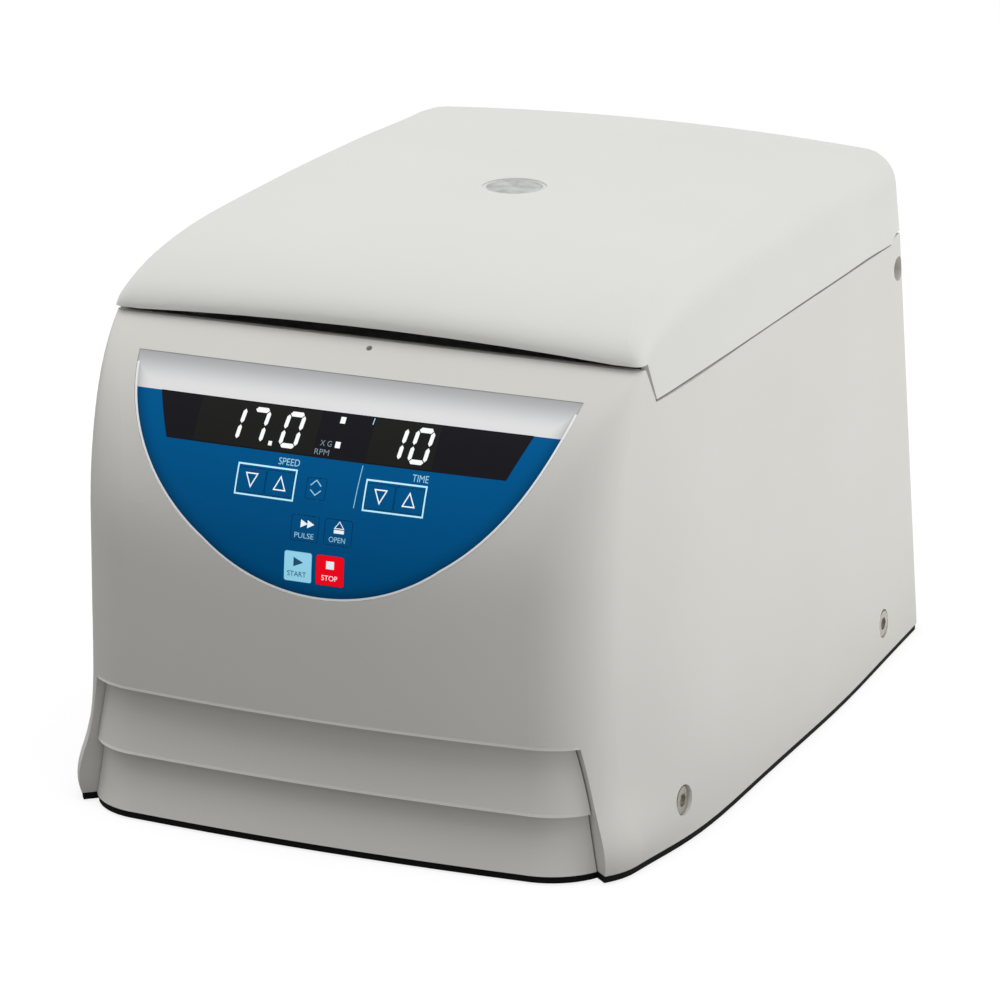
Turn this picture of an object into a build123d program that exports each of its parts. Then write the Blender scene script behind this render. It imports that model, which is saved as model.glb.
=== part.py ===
"""Bench microcentrifuge: housing, hinged lid, fixed-angle rotor on a direct drive, keypad and rear panel.

Frame: millimetres, +Z up, the front faces -Y, the origin is under the middle of the machine on the table.
"""
import os
from math import atan2, cos, pi, radians, sin, sqrt

from build123d import *

os.makedirs("parts", exist_ok=True)

# Housing form
front_y = -178.0
front_top_y = -128.0
front_top_z = 192.4
curve_foot_z = 105.0
split_z = 178.3
rear_foot_y = 178.0
rear_top_y = 159.5
foot_z = 3.6
wall = 3.0
fascia_bow = 4.5
foot_corner = 30.0
top_corner = 3.0
corner_half = 111.0
top_half = 113.0
corner_tuck = 2.0
flare_front = 11.0
flare_middle = 12.3
flare_side = 11.5
flare_rear = 5.2
side_taper = 0.7
rear_taper = 1.0
rear_corner = 9.0
side_front_y = -112.0
side_middle_y = -40.0
side_rear_y = 55.0

# Lower front panel and side flanges
band_top_z = 54.0
band_lip_z = 27.0
band_half = 110.5
band_corner = 28.0
band_recess = 6.6
band_lip_back = 2.4
band_foot_back = 1.3
band_gap = 0.6
band_tuck = 5.0
band_ledge = 3.0
band_bow = 3.0
band_end_y = -138.0
panel_wall = 2.5
flange_tip_x = 119.0
flange_reach = 16.0
flange_rib = 5.0
flange_turn = radians(41)
flange_top_turn = radians(44)
flange_foot_turn = radians(50.5)
flange_back_y = -139.0

# Lid form
lid_gap = 0.9
lid_front_y = -129.5
lid_front_z = 194.4
lid_low_z = 150.0
lid_arch = 3.0
lid_arch_half = 100.0
lid_top_z = 218.8
lid_crown = 4.5
lid_sag = 3.0
lid_sag_y = 35.0
lid_sag_length = 120.0
nose_drop = 18.9
nose_start_y = -66.0
nose_length = 63.5
nose_tuck = 1.0
lid_wall = 3.0
lid_shoulder = 15.0
nose_shoulder = 4.0
lid_rear_round = 4.0
web_top_z = 188.0
lid_boss_x = 94.0
lid_boss_front_y = -88.0
lid_boss_rear_y = 112.0
lid_boss_r = 5.0
screw_reach = 12.0
lid_screw_head_r = 3.5
lid_screw_head = 1.6
liner_front_y = -114.0
liner_rear_y = 132.0
liner_clear = 3.0
liner_corner = 8.0
window_r = 13.0
window_sink = 0.4
sight_r = 11.5
sight_wall = 2.0
tube_seat_gap = 0.4
jog_y = -117.6
rim_depth = 3.5

# Hinge
pin_y = 149.5
pin_z = 166.3
pin_r = 4.0
pin_fit = 0.05
pin_recess_r = 5.2
pin_outer_x = 106.4
pin_length = 42.0
ear_r = 15.0
ear_inner_x = 101.0
ear_gap = 1.0
hinge_gap = 0.7
barrel_r = 9.5
barrel_bore = 6.5
bush_length = 16.0
trough_gap = 1.5
trough_wall = 4.5
rear_lip_drop = 11.3
spring_wire = 1.6
spring_turns = 9
spring_gap = 0.5
coil_mean_r = 5.3

# Rotor chamber and rotor
axis_y = 5.0
bowl_r = 96.0
bowl_wall = 1.2
bowl_floor_z = 97.0
bowl_corner = 16.0
bowl_rim = 6.5
bowl_hole_r = 18.0
gasket_height = 1.5
gasket_width = 4.5
gasket_inset = 0.5
rotor_r = 90.0
rotor_base_z = 106.0
rotor_base_r = 62.0
rotor_side_z = 118.0
rotor_top_z = 164.0
tube_count = 24
tube_r = 5.55
tube_depth = 34.0
tube_tilt = 45.0
tube_mouth_r = 57.0
tube_mouth_z = 146.0
hub_r = 17.0
hub_floor_r = 40.0
hub_top_z = 150.0
nut_r = 14.0
nut_height = 15.0
nut_socket_r = 6.0
shaft_r = 6.0
shaft_fit = 0.05
shaft_end_gap = 0.5

# Drive
plate_z = 58.0
plate_thick = 3.0
plate_r = 72.0
motor_r = 46.0
motor_wall = 2.5
motor_foot_z = 15.0
motor_top_z = 90.0
flange_r = 54.0
bearing_r = 14.0
bearing_width = 9.0
bearing_wall = 3.0
stator_height = 38.0
stator_bore = 24.0
rotor_gap = 0.8
armature_short = 4.0
damper_r = 9.0
damper_circle = 61.0
boot_wall = 3.0
pillar_r = 7.0
pillar_top_z = 34.0
cap_clear = 1.5

# Base
base_z = 0.8
base_inset = 0.6
seat_gap = 0.3
tray_rise = 2.0
rise_front_y = -130.0
tray_clear = 0.6
foot_r = 11.0
foot_stem_r = 3.5
foot_head_r = 5.5
foot_x = 80.0
foot_front_y = -125.0
foot_rear_y = 140.0

# Side screws
screw_z = 18.5
screw_front_y = -111.0
screw_back_y = 122.0
recess_r = 6.2
recess_depth = 3.4
boss_r = 9.0
boss_depth = 7.0
head_r = 4.6
head_height = 2.4
side_head_r = 5.4
side_head_height = 2.8
hex_r = 2.9
thread_r = 2.0
tab_thick = 4.0
tab_width = 16.0
tab_height = 26.0

# Latch
slot_half = 8.0
slot_front_y = -115.5
slot_depth = 12.5
hook_half = 5.0
hook_y = -108.5
hook_thick = 3.0
hook_foot_z = 159.0
hook_nose = 4.0
hook_nose_height = 4.0
pawl_y = -122.0
pawl_z = 148.0
pawl_pin_r = 2.0
pawl_hub_r = 4.5
pawl_half = 4.0
pawl_arm = 3.5
pawl_nose = 4.2
pawl_travel = 12.0
pawl_free = 0.6
bracket_half = 9.5
bracket_wall = 1.5
bracket_front_y = -128.0
bracket_rear_y = -100.0
bracket_foot_z = 140.0
bracket_step = 4.0
plate_rise = 20.0
drive_depth = 13.0
drive_rise = 18.0
hook_free = 2.0
pawl_wire = 0.8
pawl_coil_r = 3.2
pawl_spring_turns = 4
pinhole_r = 1.2
pinhole_drop = 2.2

# Keypad
sink = 0.25
film = 0.6
pocket_clear = 0.1
pad_top_z = 182.0
pad_half = 93.2
pad_hip_x = 50.0
pad_hip_z = 120.0
pad_mid_x = 76.5
pad_mid_z = 145.0
pad_foot_z = 103.2
display_top_z = 170.3
display_foot_z = 155.0
display_top_half = 78.0
display_foot_half = 71.0
window_ledge = 2.0
fit_gap = 0.1
key_gap = 0.18
key_thick = 1.2
key_travel = 0.4
key_back = 0.2
key_corner = 0.8
arrow_z = 144.4
arrow_half = 5.7
arrow_height = 4.7
speed_x = -25.8
time_x = 28.1
arrow_step = 12.0
unit_x = -4.4
unit_half = 4.0
small_z = 129.8
small_half = 5.6
small_height = 4.8
small_x = 7.0
large_z = 115.0
large_half = 5.7
large_x = 6.7
large_shift = -2.2

# Boards
board_thick = 1.6
board_depth = 9.0
board_z = 150.0
display_board_width = 170.0
display_board_height = 44.0
module_thick = 3.6
module_height = 13.0
speed_module_x = -28.0
speed_module_width = 36.0
time_module_x = 32.0
time_module_width = 23.0
post_r = 3.0
post_x = 80.0
post_y = 17.0
low_board_z = 14.0
control_width = 150.0
control_depth = 62.0
control_y = -112.0
power_width = 150.0
power_depth = 44.0
power_y = 116.0
chip_size = 22.0
chip_height = 5.0
connector_depth = 8.0
connector_width = 40.0
heat_sink_width = 60.0
heat_sink_depth = 26.0
heat_sink_height = 34.0
heat_sink_foot = 4.0
fin_count = 7
fin_thick = 1.6
capacitor_r = 9.0
capacitor_height = 30.0

# Rear panel
panel_z = 84.0
panel_width = 176.0
panel_height = 104.0
panel_ledge = 7.0
rear_panel_thick = 2.0
vent_count = 9
vent_width = 62.0
vent_height = 3.4
vent_pitch = 7.4
vent_x = 40.0
inlet_x = -52.0
inlet_y = -18.0
inlet_width = 50.0
inlet_height = 30.0
inlet_flange = 2.5
inlet_body_width = 32.0
inlet_body_height = 28.0
inlet_depth = 26.0
socket_width = 24.2
socket_height = 16.6
socket_depth = 17.0
socket_y = 4.5
blade_spacing = 7.0
blade_width = 2.0
blade_height = 4.0
blade_length = 15.0
drawer_width = 24.0
drawer_height = 6.0
drawer_depth = 20.0
drawer_y = -9.6
drawer_gap = 0.3
drawer_grip = 12.0
drawer_lip = 1.0
switch_x = -52.0
switch_y = 22.0
switch_width = 30.0
switch_height = 20.0
switch_flange = 1.6
switch_depth = 18.0
rocker_width = 21.0
rocker_height = 12.0
rocker_gap = 0.5
rocker_travel = 12.0
rocker_room = 8.0
rocker_pivot = 2.0
rocker_pin_r = 1.0
rocker_low = -2.5
rocker_high = 4.0
rocker_dip = 0.9
switch_body_width = 26.0
switch_body_height = 16.0


def front_at(z, inset=0.0):
    """Middle of the front at height z: upright up to the curve's foot, then a large arc leaning back."""
    rise = max(0.0, z - curve_foot_z)
    return curve_centre_y - sqrt((curve_radius - inset) ** 2 - rise ** 2)


def upper(z):
    """0 at the curve's foot and below it, 1 at the top of the front."""
    return max(0.0, z - curve_foot_z) / (front_top_z - curve_foot_z)


def side_half(z, top, flare):
    """Half width of a side station, flared towards the table."""
    return top + flare * (1 - z / split_z)


def rear_at(z):
    """Rear face at height z, leaning forwards as it rises."""
    return rear_foot_y + (rear_top_y - rear_foot_y) * z / split_z


curve_rise = front_top_z - curve_foot_z
curve_lean = front_top_y - front_y
curve_radius = (curve_rise ** 2 + curve_lean ** 2) / (2 * curve_lean)
curve_centre_y = front_y + curve_radius
section_heights = (foot_z, band_lip_z, band_top_z, 80.0, curve_foot_z, 125.0, 145.0, 163.0,
                   split_z, front_top_z)
drum_y = rear_at(split_z)
lid_skirt_z = split_z + lid_gap
bowl_rim_z = split_z + bowl_wall
gasket_top_z = bowl_rim_z + gasket_height
liner_z = gasket_top_z + 0.3
liner_thick = 2.5
tray_top_z = foot_z + tray_rise


def corner_at(z, inset=0.0):
    """Front corner at height z: ends of its arc, its radius, and its first and last headings."""
    radius = max(foot_corner + (top_corner - foot_corner) * upper(z) ** 2 - inset, 1.0)
    bow = fascia_bow * (1 - 0.93 * upper(z))
    tip = max(0.0, 1 - z / band_top_z)
    tuck = (top_half - corner_tuck - corner_half) * upper(z)
    end_x = corner_half + tuck + (flange_tip_x - corner_half) * tip - inset
    y_start = front_at(z, inset) + bow
    first = 2 * atan2(bow, end_x - radius)
    spread = atan2(side_half(z, top_half, flare_front) - inset - end_x, side_front_y - y_start - 0.7 * radius)
    last = pi / 2 - spread
    start = (end_x - radius * (sin(last) - sin(first)), y_start)
    end = (end_x, y_start + radius * (cos(first) - cos(last)))
    return start, end, radius, first, last


def housing_outline(z, inset=0.0):
    """Plan section of the housing at height z, drawn in by inset."""
    start, end, radius, first, last = corner_at(z, inset)
    y_front = front_at(z, inset)
    x_front = side_half(z, top_half, flare_front) - inset
    x_middle = side_half(z, top_half, flare_middle) - inset
    x_side = side_half(z, top_half - side_taper, flare_side) - inset
    x_rear = side_half(z, top_half - rear_taper, flare_rear) - inset
    y_rear = rear_at(z) - inset
    r_rear = rear_corner - inset
    with BuildSketch(Plane.XY.offset(z)) as section:
        with BuildLine():
            ThreePointArc((0, y_front), (start[0] / 2, y_front + (start[1] - y_front) / 4), start)
            RadiusArc(start, end, -radius)
            c = Spline(end, (x_front, side_front_y), (x_middle, side_middle_y), (x_side, side_rear_y),
                       (x_rear, y_rear - r_rear),
                       tangents=[(cos(last), sin(last)), (x_rear - x_side, y_rear - r_rear - side_rear_y)])
            d = RadiusArc(c @ 1, (x_rear - r_rear, y_rear), -r_rear)
            Line(d @ 1, (0, y_rear))
            mirror(about=Plane.YZ)
        make_face()
    return section.sketch


def housing_solid(inset=0.0, low=foot_z, high=front_top_z):
    """The housing's outer form, drawn in by inset, from height low to height high."""
    heights = [low] + [z for z in section_heights if low + 2 < z < high - 2] + [high]
    with BuildPart() as form:
        loft([housing_outline(z, inset) for z in heights])
    return form.part


def side_prism(points, half):
    """A polygon in the YZ plane, drawn out to half on each side of the middle."""
    with BuildPart() as prism:
        with BuildSketch(Plane.YZ):
            with BuildLine():
                Polyline(*points, close=True)
            make_face()
        extrude(amount=half, both=True)
    return prism.part


def cross_bar(y, z, radius, half):
    """A round bar along X, from -half to half."""
    with BuildPart() as bar:
        with BuildSketch(Plane.YZ):
            with Locations((y, z)):
                Circle(radius)
        extrude(amount=half, both=True)
    return bar.part


def cross_tube(y, z, radius, bore, x_from, x_to):
    """A round tube along X between two stations."""
    with BuildPart() as tube:
        with BuildSketch(Plane.YZ.offset(x_from)):
            with Locations((y, z)):
                Circle(radius)
                if bore > 0:
                    Circle(bore, mode=Mode.SUBTRACT)
        extrude(amount=x_to - x_from)
    return tube.part


def fascia_plane(x, z):
    """Plane that touches the fascia at (x, z), its own y up the slope and its normal pointing out."""
    lean = atan2(max(0.0, z - curve_foot_z), curve_centre_y - front_at(z))
    bow = fascia_bow * (1 - 0.93 * upper(z)) * (x / corner_half) ** 2
    return Plane(origin=(x, front_at(z) + bow, z), x_dir=(1, 0, 0), z_dir=(0, -cos(lean), sin(lean)))


def front_prism(outline, depth):
    """A sketch in X and Z, drawn straight back from in front of the housing."""
    with BuildPart() as prism:
        with BuildSketch(Plane.XZ.offset(-front_y + 10)):
            add(outline)
        extrude(amount=-depth)
    return prism.part


def pad_outline(grow=0.0):
    """Front view of the keypad film: a straight top over one deep curve."""
    with BuildSketch() as outline:
        with BuildLine():
            right = ThreePointArc((pad_half, pad_top_z), (pad_mid_x, pad_mid_z), (pad_hip_x, pad_hip_z))
            ThreePointArc(right @ 1, (0, pad_foot_z), (-pad_hip_x, pad_hip_z))
            left = ThreePointArc((-pad_hip_x, pad_hip_z), (-pad_mid_x, pad_mid_z), (-pad_half, pad_top_z))
            Line(left @ 1, (pad_half, pad_top_z))
        make_face()
        if grow > 0:
            offset(amount=grow, kind=Kind.INTERSECTION)
    return outline.sketch


def display_outline(grow=0.0):
    """Front view of the display window, narrower at its foot."""
    with BuildSketch() as outline:
        with BuildLine():
            Polyline((-display_foot_half, display_foot_z), (display_foot_half, display_foot_z),
                     (display_top_half, display_top_z), (-display_top_half, display_top_z), close=True)
        make_face()
        if grow != 0:
            offset(amount=grow, kind=Kind.INTERSECTION)
    return outline.sketch


def key_prism(x, z, half, height, grow, depth):
    """A rounded block through the fascia at a key, along the fascia's normal there."""
    with BuildPart() as prism:
        with BuildSketch(fascia_plane(x, z).offset(5)):
            RectangleRounded(2 * (half + grow), 2 * (height + grow), key_corner + grow)
        extrude(amount=-5 - depth)
    return prism.part


keys = {
    "key_speed_down": (speed_x - arrow_step / 2, arrow_z, arrow_half, arrow_height),
    "key_speed_up": (speed_x + arrow_step / 2, arrow_z, arrow_half, arrow_height),
    "key_unit": (unit_x, arrow_z, unit_half, unit_half),
    "key_time_down": (time_x - arrow_step / 2, arrow_z, arrow_half, arrow_height),
    "key_time_up": (time_x + arrow_step / 2, arrow_z, arrow_half, arrow_height),
    "key_pulse": (-small_x, small_z, small_half, small_height),
    "key_open": (small_x, small_z, small_half, small_height),
    "key_start": (large_shift - large_x, large_z, large_half, large_half),
    "key_stop": (large_shift + large_x, large_z, large_half, large_half),
}


# Pockets in the fascia for the keypad film and its keys
film_face = housing_solid(sink, 80.0)
film_back = housing_solid(sink + film, 80.0)
pocket_back = housing_solid(sink + film + pocket_clear, 80.0)
key_foot = housing_solid(sink + key_thick, 80.0)
key_pocket_back = housing_solid(sink + key_thick + key_travel + key_back, 80.0)
with BuildPart() as pad_pocket:
    add(front_prism(pad_outline(fit_gap), 90))
    add(pocket_back, mode=Mode.SUBTRACT)
with BuildPart() as key_pockets:
    for x, z, half, height in keys.values():
        add(key_prism(x, z, half, height, key_gap, 6))
    add(key_pocket_back, mode=Mode.SUBTRACT)

# Housing: the moulded shell, with its deck, rim, ears, hinge trough, flanges and all its openings
outer_form = housing_solid()
cavity_form = housing_solid(wall, foot_z - 1, front_top_z - wall)
rim_back_y = front_top_y + rim_depth
top_cut = side_prism(((rim_back_y, front_top_z + 1), (rim_back_y, front_top_z), (jog_y, split_z),
                      (rear_foot_y + 5, split_z), (rear_foot_y + 5, front_top_z + 1)), 140)
under_deck = side_prism(((front_y - 5, 0), (front_y - 5, front_top_z - wall),
                         (rim_back_y - wall, front_top_z - wall), (jog_y - wall, split_z - wall),
                         (rear_foot_y + 5, split_z - wall), (rear_foot_y + 5, 0)), 140)


def band_outline(z, back, inset=0.0):
    """Plan of the lower front panel at height z, its face set back from the housing's front."""
    y_front = front_y + back + inset
    half = band_half - inset
    radius = band_corner - inset
    with BuildSketch(Plane.XY.offset(z)) as section:
        with BuildLine():
            a = ThreePointArc((0, y_front), ((half - radius) / 2, y_front + band_bow / 4),
                              (half - radius, y_front + band_bow))
            b = RadiusArc(a @ 1, (half, y_front + band_bow + radius), -radius)
            c = Line(b @ 1, (half, band_end_y + inset))
            Line(c @ 1, (0, band_end_y + inset))
            mirror(about=Plane.YZ)
        make_face()
    return section.sketch


def band_solid(low, high, back_low, back_high, inset=0.0):
    """One band: a soft hollow curve from its lower lip in to its top."""
    middle = (low + high) / 2
    back_middle = back_high + (back_low - back_high) * 0.3
    with BuildPart() as band:
        loft([band_outline(low, back_low, inset), band_outline(middle, back_middle, inset),
              band_outline(high, back_high, inset)])
    return band.part


def flange_tip(z):
    """Front edge of the right side flange at height z: it winds round the corner as it comes down."""
    start, end, radius, first, last = corner_at(z)
    share = (z - foot_z) / (band_top_z - foot_z)
    turn = flange_foot_turn + (flange_top_turn - flange_foot_turn) * max(0.0, share) ** 3
    return start[0] + radius * (sin(turn) - sin(first)), start[1] + radius * (cos(first) - cos(turn))


def notch_outline(z, gap=0.0):
    """Plan of the space ahead of the flanges and well past the front, its sides moved in by gap."""
    across, along = cos(flange_turn), sin(flange_turn)
    tip_x, tip_y = flange_tip(z)
    tip_x, tip_y = tip_x - gap * along, tip_y - gap * across
    with BuildSketch(Plane.XY.offset(z)) as section:
        with BuildLine():
            Polyline((0, front_y - 20), (tip_x + 14, front_y - 20),
                     (tip_x + 8 * across, tip_y - 8 * along),
                     (tip_x - flange_reach * across, tip_y + flange_reach * along),
                     (0, tip_y + flange_reach * along))
            mirror(about=Plane.YZ)
        make_face()
    return section.sketch


notch_heights = (foot_z - 2, 15.0, 28.0, 39.0, 48.0, band_top_z)
with BuildPart() as notch:
    loft([notch_outline(z) for z in notch_heights])
    add(band_solid(foot_z - 2, band_lip_z, band_foot_back, band_recess, flange_rib))
    add(band_solid(band_lip_z, band_top_z + band_ledge + 1, band_lip_back, band_recess, flange_rib))
    with BuildSketch(Plane.XY.offset(band_top_z)):
        add(band_outline(band_top_z, band_recess, -band_gap))
        add(notch_outline(band_top_z), mode=Mode.INTERSECT)
    extrude(amount=band_tuck + band_gap)
with BuildPart() as flange_root:
    with Locations((0, (front_y + flange_back_y) / 2, (foot_z + band_top_z + band_ledge) / 2)):
        Box(4 * top_half, flange_back_y - front_y, band_top_z + band_ledge - foot_z)
    add(outer_form, mode=Mode.INTERSECT)
with BuildPart() as cavity:
    add(cavity_form)
    add(under_deck, mode=Mode.INTERSECT)
with BuildPart() as ear_blocks:
    add(cross_bar(pin_y, pin_z, ear_r, top_half + 10))
    add(side_prism(((pin_y - ear_r, pin_z), (pin_y - ear_r, pin_z - 26), (rear_foot_y, pin_z - 26),
                    (rear_foot_y, pin_z)), top_half + 10))
    add(side_prism(((0, 0), (0, 220), (200, 220), (200, 0)), ear_inner_x), mode=Mode.SUBTRACT)
    add(outer_form, mode=Mode.INTERSECT)
with BuildPart() as trough_shell:
    add(cross_bar(pin_y, pin_z, barrel_r + trough_gap + trough_wall, ear_inner_x + 1))
    add(side_prism(((pin_y - 20, split_z), (pin_y - 20, 220), (200, 220), (200, split_z)), 140),
        mode=Mode.SUBTRACT)
    add(outer_form, mode=Mode.INTERSECT)
with BuildPart() as trough_space:
    add(cross_bar(pin_y, pin_z, barrel_r + trough_gap, ear_inner_x))
    add(side_prism(((pin_y - barrel_r - trough_gap, pin_z), (pin_y - barrel_r - trough_gap, 220),
                    (200, 220), (200, pin_z - rear_lip_drop), (pin_y, pin_z - rear_lip_drop),
                    (pin_y, pin_z)), ear_inner_x))
rear_wall_lean = atan2(rear_foot_y - rear_top_y, split_z)
rear_normal = (0, cos(rear_wall_lean), sin(rear_wall_lean))
rear_face = Plane(origin=(0, rear_at(panel_z), panel_z), x_dir=(-1, 0, 0), z_dir=rear_normal)
rear_seat = rear_face.offset(-wall * cos(rear_wall_lean))
side_screws = [(side, y) for side in (-1, 1) for y in (screw_front_y, screw_back_y)]
ledge_screw_x = panel_width / 2 + panel_ledge / 2
ledge_screw_spots = [(side * ledge_screw_x, up * panel_height / 4) for side in (-1, 1) for up in (-1, 1)]


def side_at(y):
    """Outer half width of the housing at the height of the side screws."""
    if y < 0:
        return side_half(screw_z, top_half, flare_front)
    share = (y - side_rear_y) / (rear_at(screw_z) - rear_corner - side_rear_y)
    near = side_half(screw_z, top_half - side_taper, flare_side)
    far = side_half(screw_z, top_half - rear_taper, flare_rear)
    return near + (far - near) * share + 0.6


def screw_plane(side, y):
    """Plane on the housing's side at a screw, its normal pointing out."""
    return Plane(origin=(side * side_at(y), y, screw_z), x_dir=(0, side, 0), z_dir=(side, 0, 0))


with BuildPart() as screw_bosses:
    for side, y in side_screws:
        with BuildSketch(screw_plane(side, y).offset(-boss_depth)):
            Circle(boss_r)
        extrude(amount=boss_depth + 4)
    add(outer_form, mode=Mode.INTERSECT)
board_face = fascia_plane(0, board_z).offset(-board_depth)
post_spots = [(side * post_x, up * post_y) for side in (-1, 1) for up in (-1, 1)]
with BuildPart() as board_posts:
    with BuildSketch(board_face):
        with Locations(*post_spots):
            Circle(post_r)
    extrude(amount=board_depth)
    add(outer_form, mode=Mode.INTERSECT)
with BuildPart() as housing:
    add(outer_form)
    add(cavity.part, mode=Mode.SUBTRACT)
    add(top_cut, mode=Mode.SUBTRACT)
    add(trough_shell.part)
    add(ear_blocks.part)
    add(screw_bosses.part)
    add(flange_root.part)
    add(board_posts.part)
    add(trough_space.part, mode=Mode.SUBTRACT)
    add(notch.part, mode=Mode.SUBTRACT)
    with Locations((0, axis_y, split_z)):
        Cylinder(bowl_r + bowl_wall + lid_gap, 20, mode=Mode.SUBTRACT)
    with Locations((0, slot_front_y + slot_depth / 2, split_z)):
        Box(2 * slot_half, slot_depth, 20, mode=Mode.SUBTRACT)
    add(cross_bar(pin_y, pin_z, pin_r, top_half + 10), mode=Mode.SUBTRACT)
    for side in (-1, 1):
        with BuildSketch(Plane.YZ.offset(side * pin_outer_x)):
            with Locations((pin_y, pin_z)):
                Circle(pin_recess_r)
        extrude(amount=side * 20, mode=Mode.SUBTRACT)
    for side, y in side_screws:
        with BuildSketch(screw_plane(side, y).offset(-recess_depth)):
            Circle(recess_r)
        extrude(amount=20, mode=Mode.SUBTRACT)
        with BuildSketch(screw_plane(side, y).offset(-boss_depth - 5)):
            Circle(thread_r)
        extrude(amount=20, mode=Mode.SUBTRACT)
    with BuildSketch(fascia_plane(0, front_top_z - pinhole_drop).offset(2)):
        Circle(pinhole_r)
    extrude(amount=-16, mode=Mode.SUBTRACT)
    with BuildSketch(rear_face.offset(5)):
        Rectangle(panel_width, panel_height)
    extrude(amount=-20, mode=Mode.SUBTRACT)
    with BuildSketch(rear_face.offset(5)):
        with Locations(*ledge_screw_spots):
            Circle(thread_r + fit_gap)
    extrude(amount=-20, mode=Mode.SUBTRACT)
    with BuildSketch(rear_face.offset(-head_height)):
        with Locations(*ledge_screw_spots):
            Circle(head_r + fit_gap)
    extrude(amount=10, mode=Mode.SUBTRACT)
    add(pad_pocket.part, mode=Mode.SUBTRACT)
    add(key_pockets.part, mode=Mode.SUBTRACT)
    add(front_prism(display_outline(-window_ledge), 60), mode=Mode.SUBTRACT)
housing.part.label = "housing"
export_step(housing.part, "parts/housing.step")

# Keypad: a film over the fascia's pocket, a dark window, and nine keys that press in
with BuildPart() as keypad_overlay:
    add(front_prism(pad_outline(), 90))
    add(film_face, mode=Mode.INTERSECT)
    add(film_back, mode=Mode.SUBTRACT)
    add(front_prism(display_outline(fit_gap), 90), mode=Mode.SUBTRACT)
    for x, z, half, height in keys.values():
        add(key_prism(x, z, half, height, key_gap, 6), mode=Mode.SUBTRACT)
keypad_overlay.part.label = "keypad_overlay"
export_step(keypad_overlay.part, "parts/keypad_overlay.step")

with BuildPart() as display_window:
    add(front_prism(display_outline(), 90))
    add(film_face, mode=Mode.INTERSECT)
    add(film_back, mode=Mode.SUBTRACT)
display_window.part.label = "display_window"
export_step(display_window.part, "parts/display_window.step")

for name, (x, z, half, height) in keys.items():
    with BuildPart() as key:
        add(key_prism(x, z, half, height, 0, 6))
        add(film_face, mode=Mode.INTERSECT)
        add(key_foot, mode=Mode.SUBTRACT)
    key.part.label = name
    export_step(key.part, f"parts/{name}.step")

# Display board behind the fascia, on posts, with its two digit modules
with BuildPart() as display_board:
    with BuildSketch(board_face):
        Rectangle(display_board_width, display_board_height)
    extrude(amount=-board_thick)
display_board.part.label = "display_board"
export_step(display_board.part, "parts/display_board.step")
board_lean = atan2(board_z - curve_foot_z, curve_centre_y - front_at(board_z))
module_y = ((display_top_z + display_foot_z) / 2 - board_z) / cos(board_lean)
with BuildPart() as digit_modules:
    with BuildSketch(board_face):
        with Locations((speed_module_x, module_y)):
            RectangleRounded(speed_module_width, module_height, 1)
        with Locations((time_module_x, module_y)):
            RectangleRounded(time_module_width, module_height, 1)
    extrude(amount=module_thick)
digit_modules.part.label = "digit_modules"
export_step(digit_modules.part, "parts/digit_modules.step")

# Lower front panel: two overlapping bands, each drawn in at its top under the lip above it
with BuildPart() as panel_space:
    loft([notch_outline(z, band_gap) for z in notch_heights])
    with BuildSketch(Plane.XY.offset(band_top_z)):
        add(notch_outline(band_top_z, band_gap))
    extrude(amount=band_tuck + 1)
with BuildPart() as front_panel:
    add(band_solid(band_lip_z, band_top_z, band_lip_back, band_recess))
    add(band_solid(foot_z, band_lip_z, band_foot_back, band_recess))
    with BuildSketch(Plane.XY.offset(band_top_z)):
        add(band_outline(band_top_z, band_recess))
    extrude(amount=band_tuck)
    add(band_solid(band_lip_z + panel_wall, band_top_z, band_lip_back, band_recess, panel_wall),
        mode=Mode.SUBTRACT)
    add(band_solid(foot_z - 1, band_lip_z + panel_wall, band_foot_back, band_recess, panel_wall),
        mode=Mode.SUBTRACT)
    with BuildSketch(Plane.XY.offset(band_top_z)):
        add(band_outline(band_top_z, band_recess, panel_wall))
    extrude(amount=band_tuck, mode=Mode.SUBTRACT)
    add(panel_space.part, mode=Mode.INTERSECT)
front_panel.part.label = "lower_front_panel"
export_step(front_panel.part, "parts/lower_front_panel.step")

# Base tray on four feet, with a tab behind each side screw
def tray_face(inset, z):
    """Plan of the tray: the housing's foot drawn in, less the notch, plus the front panel's foot."""
    with BuildSketch(Plane.XY.offset(z)) as section:
        add(housing_outline(foot_z, inset).moved(Location((0, 0, z - foot_z))))
        add(notch_outline(foot_z).moved(Location((0, 0, z - foot_z))), mode=Mode.SUBTRACT)
        add(band_outline(foot_z, band_foot_back, inset).moved(Location((0, 0, z - foot_z))))
    return section.sketch


foot_spots = [(side * foot_x, y) for side in (-1, 1) for y in (foot_front_y, foot_rear_y)]
with BuildPart() as base_tray:
    with BuildSketch(Plane.XY.offset(base_z)):
        add(tray_face(base_inset, base_z))
    extrude(amount=foot_z - base_z)
    with BuildSketch(Plane.XY.offset(foot_z)):
        add(band_outline(foot_z, band_foot_back, panel_wall + tray_clear))
        add(housing_outline(foot_z, wall + tray_clear))
        with Locations((0, front_y)):
            Rectangle(400, 2 * (rise_front_y - front_y), mode=Mode.SUBTRACT)
    extrude(amount=tray_rise)
    for side, y in side_screws:
        tab_x = side_at(y) - boss_depth - seat_gap - tab_thick / 2
        with Locations((side * tab_x, y, foot_z + tab_height / 2)):
            Box(tab_thick, tab_width, tab_height)
        with BuildSketch(screw_plane(side, y).offset(-boss_depth - 8)):
            Circle(thread_r)
        extrude(amount=12, mode=Mode.SUBTRACT)
    for x, y in foot_spots:
        with Locations((x, y, base_z)):
            Cylinder(foot_stem_r, 30, mode=Mode.SUBTRACT)
base_tray.part.label = "base_tray"
export_step(base_tray.part, "parts/base_tray.step")

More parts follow.
